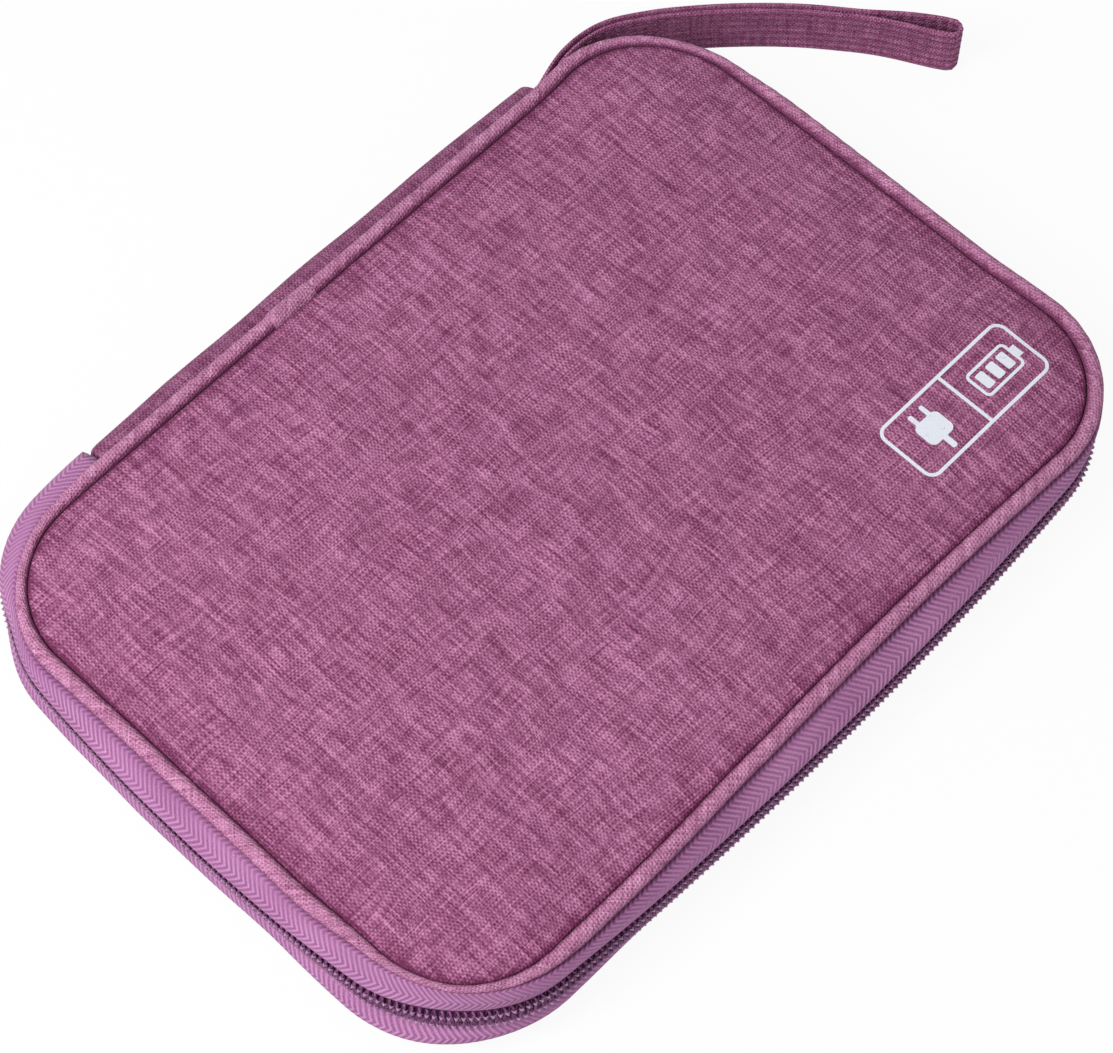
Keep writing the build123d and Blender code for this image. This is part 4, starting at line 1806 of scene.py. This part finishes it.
@dataclass(frozen=True)
class HandStrap:
    """The wrist strap: one strip folded in two, its ends caught in the spine's end."""

    route: tuple[tuple[float, float], ...] = (
        (83.0, 86.55),
        (95.5, 90.0),
        (107.8, 89.0),
        (119.2, 82.6),
        (129.7, 74.2),
        (139.3, 65.2),
        (148.4, 55.4),
        (156.6, 44.9),
        (164.4, 34.2),
        (171.3, 22.8),
    )
    ply: float = 1.25 * MM
    root_gap: float = 0.5 * MM
    tip_gap: float = 3.4 * MM
    rows: tuple[float, ...] = (-0.40, -0.24, -0.08, 0.10, 0.25, 0.40)
    row_width: float = 0.50 * MM
    rest_line: float = 82.9 * MM
    flat_share: float = 0.18

    def fold_path(self) -> Array:
        """The strip's middle line from above: out along one layer, round the fold and back.

        Returns:
            Its points, n by 2.
        """
        middle = even_path(np.array(self.route) * MM, 2.5 * MM)
        tangent = np.gradient(middle, axis=0)
        tangent /= np.linalg.norm(tangent, axis=1, keepdims=True)
        normal = np.stack([-tangent[:, 1], tangent[:, 0]], axis=1)
        share = np.linspace(0, 1, len(middle))
        opening = np.clip((share - 0.78) / 0.2, 0, 1)
        opening = opening * opening * (3 - 2 * opening)
        apart = (self.root_gap + self.ply + (self.tip_gap - self.root_gap) * opening) / 2
        stop = len(middle) - 1
        reach = apart[stop]
        turn = np.linspace(0, math.pi, 9)[1:-1]
        end = middle[stop] - tangent[stop] * reach * 0.2
        bend = end + reach * (np.cos(turn)[:, None] * normal[stop] + np.sin(turn)[:, None] * tangent[stop])
        out = (middle + normal * apart[:, None])[:-1]
        back = (middle - normal * apart[:, None])[:-1]
        return even_path(np.concatenate([out, bend, back[::-1]]), 1.6 * MM)

    def build(self, finishes: Finishes) -> None:
        """Makes the strap and its lengthwise stitching.

        Args:
            finishes: The materials.
        """
        low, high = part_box("hand_strap")
        line = self.fold_path()
        level = (low.z + high.z) / 2
        path = np.column_stack([line, np.full(len(line), level)])
        width = high.z - low.z
        piece = ribbon("hand_strap_webbing", path, (0, 0, 1), width, self.ply, steps=47)
        # Painted shade along the stitch rows, where the stitching presses grooves into the strap.
        across = (vertex_points(piece)[:, 2] - level) / width
        pressed = sum(np.exp(-(((across - row) * width / self.row_width) ** 2)) for row in self.rows)
        paint_seam_shade(piece, 0.75 * pressed)
        dress(piece, finishes.strip, "strap")
        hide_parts("hand_strap")
        self.lay_down(piece)
        tangent = np.gradient(path, axis=0)
        outward = np.cross(tangent, (0, 0, 1))
        outward /= np.linalg.norm(outward, axis=1, keepdims=True)
        rows = []
        for share in self.rows:
            row = path + np.array([0, 0, share * width])
            rows.append((row - outward * (self.ply / 2), -outward))
            rows.append((row + outward * (self.ply / 2), outward))
        seam = stitches("hand_strap_stitches", rows, 2.2 * MM, 0.7 * MM, 0.19 * MM)
        dress(seam, finishes.thread, "strap")
        self.lay_down(seam)

    def lay_down(self, piece: bpy.types.Object) -> None:
        """Gives a piece of the strap its own mesh."""
        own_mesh(piece)


@dataclass(frozen=True)
class PrintedBadge:
    """The white print near the lid's corner, pressed onto the cloth."""

    film: float = 0.07 * MM
    longest_edge: float = 1.6 * MM

    def build(self, finishes: Finishes, cover: bpy.types.Object) -> None:
        """Makes the print and lays it on the cover.

        Args:
            finishes: The materials.
            cover: The lid's cover.
        """
        shape = bmesh.new()
        shape.from_mesh(bpy.data.objects["printed_badge"].data)
        bmesh.ops.remove_doubles(shape, verts=shape.verts, dist=0.001 * MM)
        for _ in range(6):
            long_edges = [edge for edge in shape.edges if edge.calc_length() > self.longest_edge]
            if not long_edges:
                break
            bmesh.ops.subdivide_edges(shape, edges=long_edges, cuts=1, use_grid_fill=True)
            bmesh.ops.triangulate(shape, faces=shape.faces)
        points = [vertex.co.copy() for vertex in cover.data.vertices]
        ground = BVHTree.FromPolygons(points, [list(face.vertices) for face in cover.data.polygons])
        middle = sum(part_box("printed_badge"), Vector()) / 2
        for vertex in shape.verts:
            above = vertex.co.z > middle.z
            start = Vector((vertex.co.x, vertex.co.y, middle.z + 5 * MM))
            hit = ground.ray_cast(start, Vector((0, 0, -1)))[0]
            vertex.co.z = hit.z + (self.film if above else -self.film)
        mesh = bpy.data.meshes.new("badge_print")
        shape.to_mesh(mesh)
        shape.free()
        piece = bpy.data.objects.new("badge_print", mesh)
        bpy.context.scene.collection.objects.link(piece)
        dress(piece, finishes.ink, "lid")
        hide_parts("printed_badge")


# ---- The case's inside ------------------------------------------------------------------
@dataclass(frozen=True)
class SeamBindings:
    """Grosgrain folded over the raw seam inside each half."""

    outline: Outline
    inner: float = -4.45 * MM
    outer: float = -2.6 * MM
    cloth: float = 0.45 * MM

    def build(self, finishes: Finishes) -> None:
        """Makes both bindings.

        Args:
            finishes: The materials.
        """
        for body, way in (("base", 1), ("lid", -1)):
            low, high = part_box(f"{body}_seam_binding")
            foot, crest = (low.z, high.z) if way > 0 else (high.z, low.z)
            count = int(self.outline.length / (3 * MM))
            distance = np.arange(count) * self.outline.length / count
            knots = [
                (self.inner + 0.2 * MM, foot + way * 0.1 * MM),
                (self.inner, (foot + crest) / 2),
                (self.inner + 0.35 * MM, crest - way * 0.3 * MM),
                ((self.inner + self.outer) / 2, crest),
                (self.outer - 0.35 * MM, crest - way * 0.3 * MM),
                (self.outer, (foot + crest) / 2),
                (self.outer - 0.1 * MM, foot + way * 0.1 * MM),
            ]
            section = spline_weights(len(knots), 15) @ np.array(knots)
            if way < 0:
                section = section[::-1]
            outer = np.repeat(section[None], count, 0)
            grid = self.outline.sweep(distance, thick_profile(outer, self.cloth))
            piece = grid_piece(f"{body}_seam_tape", grid, True, True)
            dress(piece, finishes.binding, body)
            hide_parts(f"{body}_seam_binding")
            width = float(np.linalg.norm(np.diff(section, axis=0), axis=1).sum())
            flat = (max(width + SEAM_ALLOWANCE / 2, NARROWEST_SHEET), self.outline.length)


@dataclass(frozen=True)
class ElasticBands:
    """Wide ribbed elastic tacked down in loops that hold cables."""

    count: int = 3
    loops: int = 5
    tack: float = 4.5 * MM
    thickness: float = 0.85 * MM

    def build(self, finishes: Finishes) -> None:
        """Makes the bands and the bar tacks between their loops.

        Args:
            finishes: The materials.
        """
        for number in range(1, self.count + 1):
            low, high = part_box(f"elastic_band_{number}")
            rise = high.z - low.z - self.thickness
            pitch = (high.x - low.x - self.tack) / self.loops
            half_span = (pitch - self.tack) / 2
            x = np.arange(low.x, high.x, 0.7 * MM)
            loop = np.round((x - low.x - self.tack - half_span) / pitch)
            centre = low.x + self.tack + half_span + loop * pitch
            share = np.clip(np.abs(x - centre) / half_span, 0, 1)
            height = low.z + self.thickness / 2 + (rise - 0.02 * MM) * np.cos(share * math.pi / 2) ** 1.6
            middle = (low.y + high.y) / 2
            path = np.column_stack([x, np.full_like(x, middle), height])
            width = high.y - low.y - 0.3 * MM * np.cos(share * math.pi / 2)
            piece = ribbon(f"elastic_loops_{number}", path, (0, 1, 0), width, self.thickness, steps=13)
            dress(piece, finishes.elastic, "base")
            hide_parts(f"elastic_band_{number}")
            y = np.arange(low.y + 1 * MM, high.y - 1 * MM, 0.5 * MM)
            rows = []
            for tack in range(self.loops + 1):
                for shift in (-0.8, 0.8):
                    across = low.x + self.tack / 2 + tack * pitch + shift * MM
                    top = np.full_like(y, low.z + self.thickness)
                    row = np.column_stack([np.full_like(y, across), y, top])
                    rows.append((row, np.tile((0.0, 0.0, 1.0), (len(y), 1))))
            tacks = stitches(f"elastic_tacks_{number}", rows, 1.9 * MM, 0.5 * MM, 0.2 * MM)
            dress(tacks, finishes.dark_thread, "base")


@dataclass(frozen=True)
class CardPockets:
    """Three small pockets with an elastic hem across each mouth."""

    count: int = 3
    cloth: float = 0.5 * MM
    foot: float = 0.1 * MM
    belly: float = 1.5 * MM
    hem_width: float = 5.0 * MM
    seam_inset: float = 1.2 * MM

    def build(self, finishes: Finishes) -> None:
        """Makes the pockets, their hems and their stitching.

        Args:
            finishes: The materials.
        """
        for number in range(1, self.count + 1):
            low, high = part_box(f"card_pocket_{number}")
            middle = (low.x + high.x) / 2
            width = high.x - low.x
            y = np.linspace(low.y, high.y, 18)
            share = (y - low.y) / (high.y - low.y)
            crown = self.belly * np.sin(share * math.pi * 0.62) + 0.12 * MM * gentle_noise(
                np.column_stack([y, 0 * y]), 14 * MM, number
            )
            level = np.full_like(y, low.z + self.foot + self.cloth / 2)
            path = np.column_stack([np.full_like(y, middle), y, level])
            piece = ribbon(f"card_pocket_cloth_{number}", path, (-1, 0, 0), width, self.cloth, crown)
            dress(piece, finishes.pocket, "base")
            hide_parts(f"card_pocket_{number}")
            x = np.linspace(low.x + 0.3 * MM, high.x - 0.3 * MM, 24)
            arch = 1 - ((x - middle) / (width / 2)) ** 2
            mouth = np.interp(high.y - self.hem_width / 2, y, crown)
            level = low.z + self.cloth + 0.35 * MM + mouth * arch
            hem_path = np.column_stack([x, np.full_like(x, high.y - self.hem_width / 2), level])
            hem = ribbon(f"card_pocket_hem_{number}", hem_path, (0, 1, 0), self.hem_width, 0.5 * MM)
            dress(hem, finishes.elastic, "base")
            rows = []
            up = np.tile((0.0, 0.0, 1.0), (30, 1))
            for edge in (low.x + self.seam_inset, high.x - self.seam_inset):
                run = np.linspace(low.y + 1 * MM, high.y - 1 * MM, 30)
                top = low.z + self.foot + self.cloth + np.interp(run, y, crown) * (
                    1 - ((edge - middle) / (width / 2)) ** 2
                )
                rows.append((np.column_stack([np.full_like(run, edge), run, top]), up))
            run = np.linspace(low.x + self.seam_inset, high.x - self.seam_inset, 30)
            front = low.z + self.foot + self.cloth + crown[1] * (1 - ((run - middle) / (width / 2)) ** 2)
            rows.append((np.column_stack([run, np.full_like(run, low.y + self.seam_inset), front]), up))
            seam = stitches(f"card_pocket_seam_{number}", rows, 2.0 * MM, 0.7 * MM, 0.19 * MM)
            dress(seam, finishes.dark_thread, "base")


@dataclass(frozen=True)
class NetPocket:
    """The lid's net pocket: a bound edge, knitted net and its own small zip."""

    corner: float = 9.0 * MM
    cloth: float = 0.45 * MM
    cell: float = 3.0 * MM
    yarn: float = 0.26 * MM
    pitch: float = 1.2 * MM
    half_binding: float = 3.0 * MM
    yarn_share: float = 0.36  # of the net's area; the rest is holes

    def build(self, finishes: Finishes) -> None:
        """Makes the binding, the net, the tapes and the coils.

        Args:
            finishes: The materials.
        """
        self.build_binding(finishes)
        self.build_net(finishes)
        self.build_zip(finishes)

    def build_binding(self, finishes: Finishes) -> None:
        """Makes the folded binding round the pocket.

        Args:
            finishes: The materials.
        """
        low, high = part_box("mesh_pocket_binding")
        half = self.half_binding
        ring = Outline(high.x - half, high.y - half, self.corner)
        count = int(ring.length / (3 * MM))
        distance = np.arange(count) * ring.length / count
        top, bottom = high.z - 0.08 * MM, low.z + 0.05 * MM
        knots = [
            (-half + 0.1 * MM, top),
            (half - 0.7 * MM, top),
            (half - 0.1 * MM, top - 0.5 * MM),
            (half, (top + bottom) / 2),
            (half - 0.1 * MM, bottom + 0.5 * MM),
            (half - 0.7 * MM, bottom),
            (-half + 0.1 * MM, bottom + 0.15 * MM),
        ]
        section = spline_weights(len(knots), 19) @ np.array(knots)
        outer = np.repeat(section[None], count, 0)
        grid = ring.sweep(distance, thick_profile(outer, self.cloth))
        piece = grid_piece("pocket_edge_binding", grid, True, True)
        dress(piece, finishes.binding, "lid")
        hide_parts("mesh_pocket_binding")
        ring.length
        rows = []
        for shift in (-1.7, 1.9):
            points, out = ring.walk(distance)
            path = np.column_stack([points + out * shift * MM, np.full(count, bottom)])
            rows.append((path, np.tile((0.0, 0.0, -1.0), (count, 1))))
        seam = stitches("pocket_edge_stitches", rows, 2.4 * MM, 0.8 * MM, 0.2 * MM)
        dress(seam, finishes.dark_thread, "lid")

    def build_net(self, finishes: Finishes) -> None:
        """Knits the net from one yarn that runs back and forth in zigzag courses.

        Args:
            finishes: The materials.
        """
        low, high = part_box("mesh_pocket_net")
        step = self.cell / 3
        x = np.arange(low.x + 0.5 * MM, high.x - 0.5 * MM, step)
        course = self.cell * 0.86
        lines = []
        for number, y in enumerate(np.arange(low.y + course / 2, high.y - course / 2, course)):
            beat = (np.arange(len(x)) % 4) < 2
            way = np.where(beat, 1.0, -1.0) * (1 if number % 2 else -1)
            way = np.convolve(np.pad(way, 1, mode="edge"), (0.2, 0.6, 0.2), mode="valid")
            level = (low.z + high.z) / 2 + 0.1 * MM * way
            line = np.column_stack([x, y + way * (course / 2 - self.yarn * 0.3) / 0.6 * 0.62, level])
            lines.append(line if number % 2 == 0 else line[::-1])
        path = np.concatenate(lines)
        fine = spline_weights(len(path), 2 * len(path)) @ path
        piece = tube("pocket_net", fine, self.yarn, 5)
        dress(piece, finishes.net, "lid")
        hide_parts("mesh_pocket_net")

    def build_zip(self, finishes: Finishes) -> None:
        """Makes the pocket zip's tapes and coils.

        Args:
            finishes: The materials.
        """
        for name in ("lower", "upper"):
            low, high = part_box(f"pocket_zip_{name}_tape")
            x = np.arange(low.x, high.x, 3 * MM)
            level = (low.z + high.z) / 2 + 0.04 * MM * gentle_noise(np.column_stack([x, 0 * x]), 30 * MM, 6)
            path = np.column_stack([x, np.full_like(x, (low.y + high.y) / 2), level])
            piece = ribbon(f"pocket_{name}_tape", path, (0, 1, 0), high.y - low.y, high.z - low.z - 0.1 * MM)
            dress(piece, finishes.binding, "lid")
            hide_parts(f"pocket_zip_{name}_tape")
        low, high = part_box("pocket_zip_coil")
        middle_y, middle_z = (low.y + high.y) / 2, (low.z + high.z) / 2
        half = (high.y - low.y) / 2
        coil = CoilWire(self.pitch, 0.24 * MM, 0.32 * MM, (high.z - low.z) / 2 - 0.3 * MM, 12, 6)

        def place(along: Array, across: Array, out: Array) -> Array:
            """Points from distances along, across and out of the chain."""
            return np.column_stack([along, middle_y + across, middle_z + out])

        for name, way, late in (("lower", -1, False), ("upper", 1, True)):
            root = way * (half - 0.24 * MM)
            piece = coil.build(f"pocket_{name}_coil", place, (low.x, high.x), root, -way * 0.3 * MM, late)
            dress(piece, finishes.coil, "lid")
            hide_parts("pocket_zip_coil")


# ---- Metal parts, floor, light and camera ---------------------------------------------------
def finish_metal(finishes: Finishes) -> None:
    """Puts the enamel on the sliders, pulls and stops, which keep the frame's own shapes.

    Args:
        finishes: The materials.
    """
    for zipper in ("slider_a", "slider_b", "pocket_slider"):
        for part in ("body", "crown", "pull"):
            node = bpy.data.objects[f"{zipper}_{part}"]
            node.data.materials.clear()
            node.data.materials.append(finishes.enamel)
            LOG.info("%s: enamelled", node.name)
    stops = bpy.data.objects["pocket_zip_stops"]
    stops.data.materials.clear()
    stops.data.materials.append(finishes.enamel)


@dataclass(frozen=True)
class Lamp:
    """A soft round lamp. Its level is how brightly it lights a white card, where 1 is white."""

    name: str
    azimuth: float
    elevation: float
    away: float
    level: float
    size: float


@dataclass(frozen=True)
class Studio:
    """A white floor, soft light from above and the camera."""

    azimuth: float = -46.0
    elevation: float = 62.0
    distance: float = 0.840
    target: tuple[float, float, float] = (0.0, 0.001, 0.0)
    lens: float = 110.9
    sensor: float = 36.0
    floor_size: float = 6.0
    sky_light: float = 0.36
    camera_white: float = 0.93
    lamps: tuple[Lamp, ...] = (
        Lamp("key_lamp", -108.0, 52.0, 0.95, 0.78, 0.45),
        Lamp("fill_lamp", -20.0, 40.0, 1.5, 0.10, 1.0),
    )

    def direction(self, azimuth: float, elevation: float) -> Vector:
        """The way from the target to a lamp or camera."""
        around, up = math.radians(azimuth), math.radians(elevation)
        return Vector((math.sin(around) * math.cos(up), -math.cos(around) * math.cos(up), math.sin(up)))

    def build_camera(self) -> None:
        """Makes the camera."""
        data = bpy.data.cameras.new("camera")
        data.lens = self.lens
        data.sensor_width = self.sensor
        camera = bpy.data.objects.new("camera", data)
        way = self.direction(self.azimuth, self.elevation)
        camera.location = Vector(self.target) + way * self.distance
        camera.rotation_euler = (-way).to_track_quat("-Z", "Y").to_euler()
        bpy.context.scene.collection.objects.link(camera)
        bpy.context.scene.camera = camera

    def white_for_camera(self, graph: Graph, lit: bpy.types.Node, kind: str, output: str) -> None:
        """Mixes a shader with plain white for what the camera and reflections see.

        Args:
            graph: The material's or world's graph.
            lit: The shader that takes part in the lighting.
            kind: The type of the plain white shader.
            output: The type of the output node.
        """
        path = graph.node("ShaderNodeLightPath").outputs
        seen = Value(graph, path["Is Camera Ray"]) + Value(graph, path["Is Glossy Ray"])
        seen = seen + Value(graph, path["Is Transmission Ray"])
        share = seen.math("MINIMUM", seen, 1.0) * (self.camera_white if output.endswith("Material") else 1.0)
        white = graph.node(kind, None, {"Color": (1.0, 1.0, 1.0, 1.0), "Strength": 1.0})
        shaders = {0: share, 1: Value(graph, lit.outputs[0]), 2: Value(graph, white.outputs[0])}
        mixed = graph.node("ShaderNodeMixShader", None, shaders)
        end = graph.node(output)
        graph.tree.links.new(mixed.outputs[0], end.inputs[0])

    def build_floor(self) -> None:
        """Makes the floor, which stays white and keeps a faint shadow."""
        half = self.floor_size / 2
        corners = np.array([(-half, -half, 0), (half, -half, 0), (half, half, 0), (-half, half, 0)])
        corners[:, 2] = CAD_LOW.z - 0.4 * MM
        floor = mesh_piece("floor", corners, [(0, 1, 2, 3)])
        graph = Graph("floor_white")
        lit = graph.node("ShaderNodeBsdfDiffuse", None, {"Color": (0.9, 0.9, 0.9, 1.0)})
        self.white_for_camera(graph, lit, "ShaderNodeEmission", "ShaderNodeOutputMaterial")
        floor.data.materials.append(graph.material)

    def build_lamp(self, lamp: Lamp) -> None:
        """Makes one soft lamp.

        Args:
            lamp: Its place, level and width.
        """
        data = bpy.data.lights.new(lamp.name, "AREA")
        data.shape = "DISK"
        data.size = lamp.size
        data.energy = lamp.level * math.pi**2 * lamp.away**2
        made = bpy.data.objects.new(lamp.name, data)
        way = self.direction(lamp.azimuth, lamp.elevation)
        made.location = way * lamp.away
        made.rotation_euler = (-way).to_track_quat("-Z", "Y").to_euler()
        bpy.context.scene.collection.objects.link(made)

    def build(self) -> None:
        """Makes the whole studio."""
        scene = bpy.context.scene
        scene.view_settings.view_transform = "Standard"
        world = bpy.data.worlds.new("studio_sky")
        scene.world = world
        world.use_nodes = True
        graph = Graph.of_world(world)
        sky = {"Color": (1.0, 1.0, 1.0, 1.0), "Strength": self.sky_light}
        lit = graph.node("ShaderNodeBackground", None, sky)
        self.white_for_camera(graph, lit, "ShaderNodeBackground", "ShaderNodeOutputWorld")
        self.build_floor()
        for lamp in self.lamps:
            self.build_lamp(lamp)
        self.build_camera()


def main() -> None:
    """Builds the pouch's pieces in order."""
    logging.basicConfig(level=logging.INFO, format="%(name)s: %(message)s")
    Studio().build()
    finishes = Finishes.build()
    outline = Outline.from_frame()
    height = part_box("lid_panel")[1].z - CAD_LOW.z
    cover = PaddedCovers(outline, height).build(finishes)
    Pipings(outline).build(finishes)
    MainZip(outline).build(finishes)
    Spine(outline).build(finishes)
    HandStrap().build(finishes)
    PrintedBadge().build(finishes, cover)
    SeamBindings(outline).build(finishes)
    ElasticBands().build(finishes)
    CardPockets().build(finishes)
    NetPocket().build(finishes)
    finish_metal(finishes)


if __name__ == "__main__":
    main()
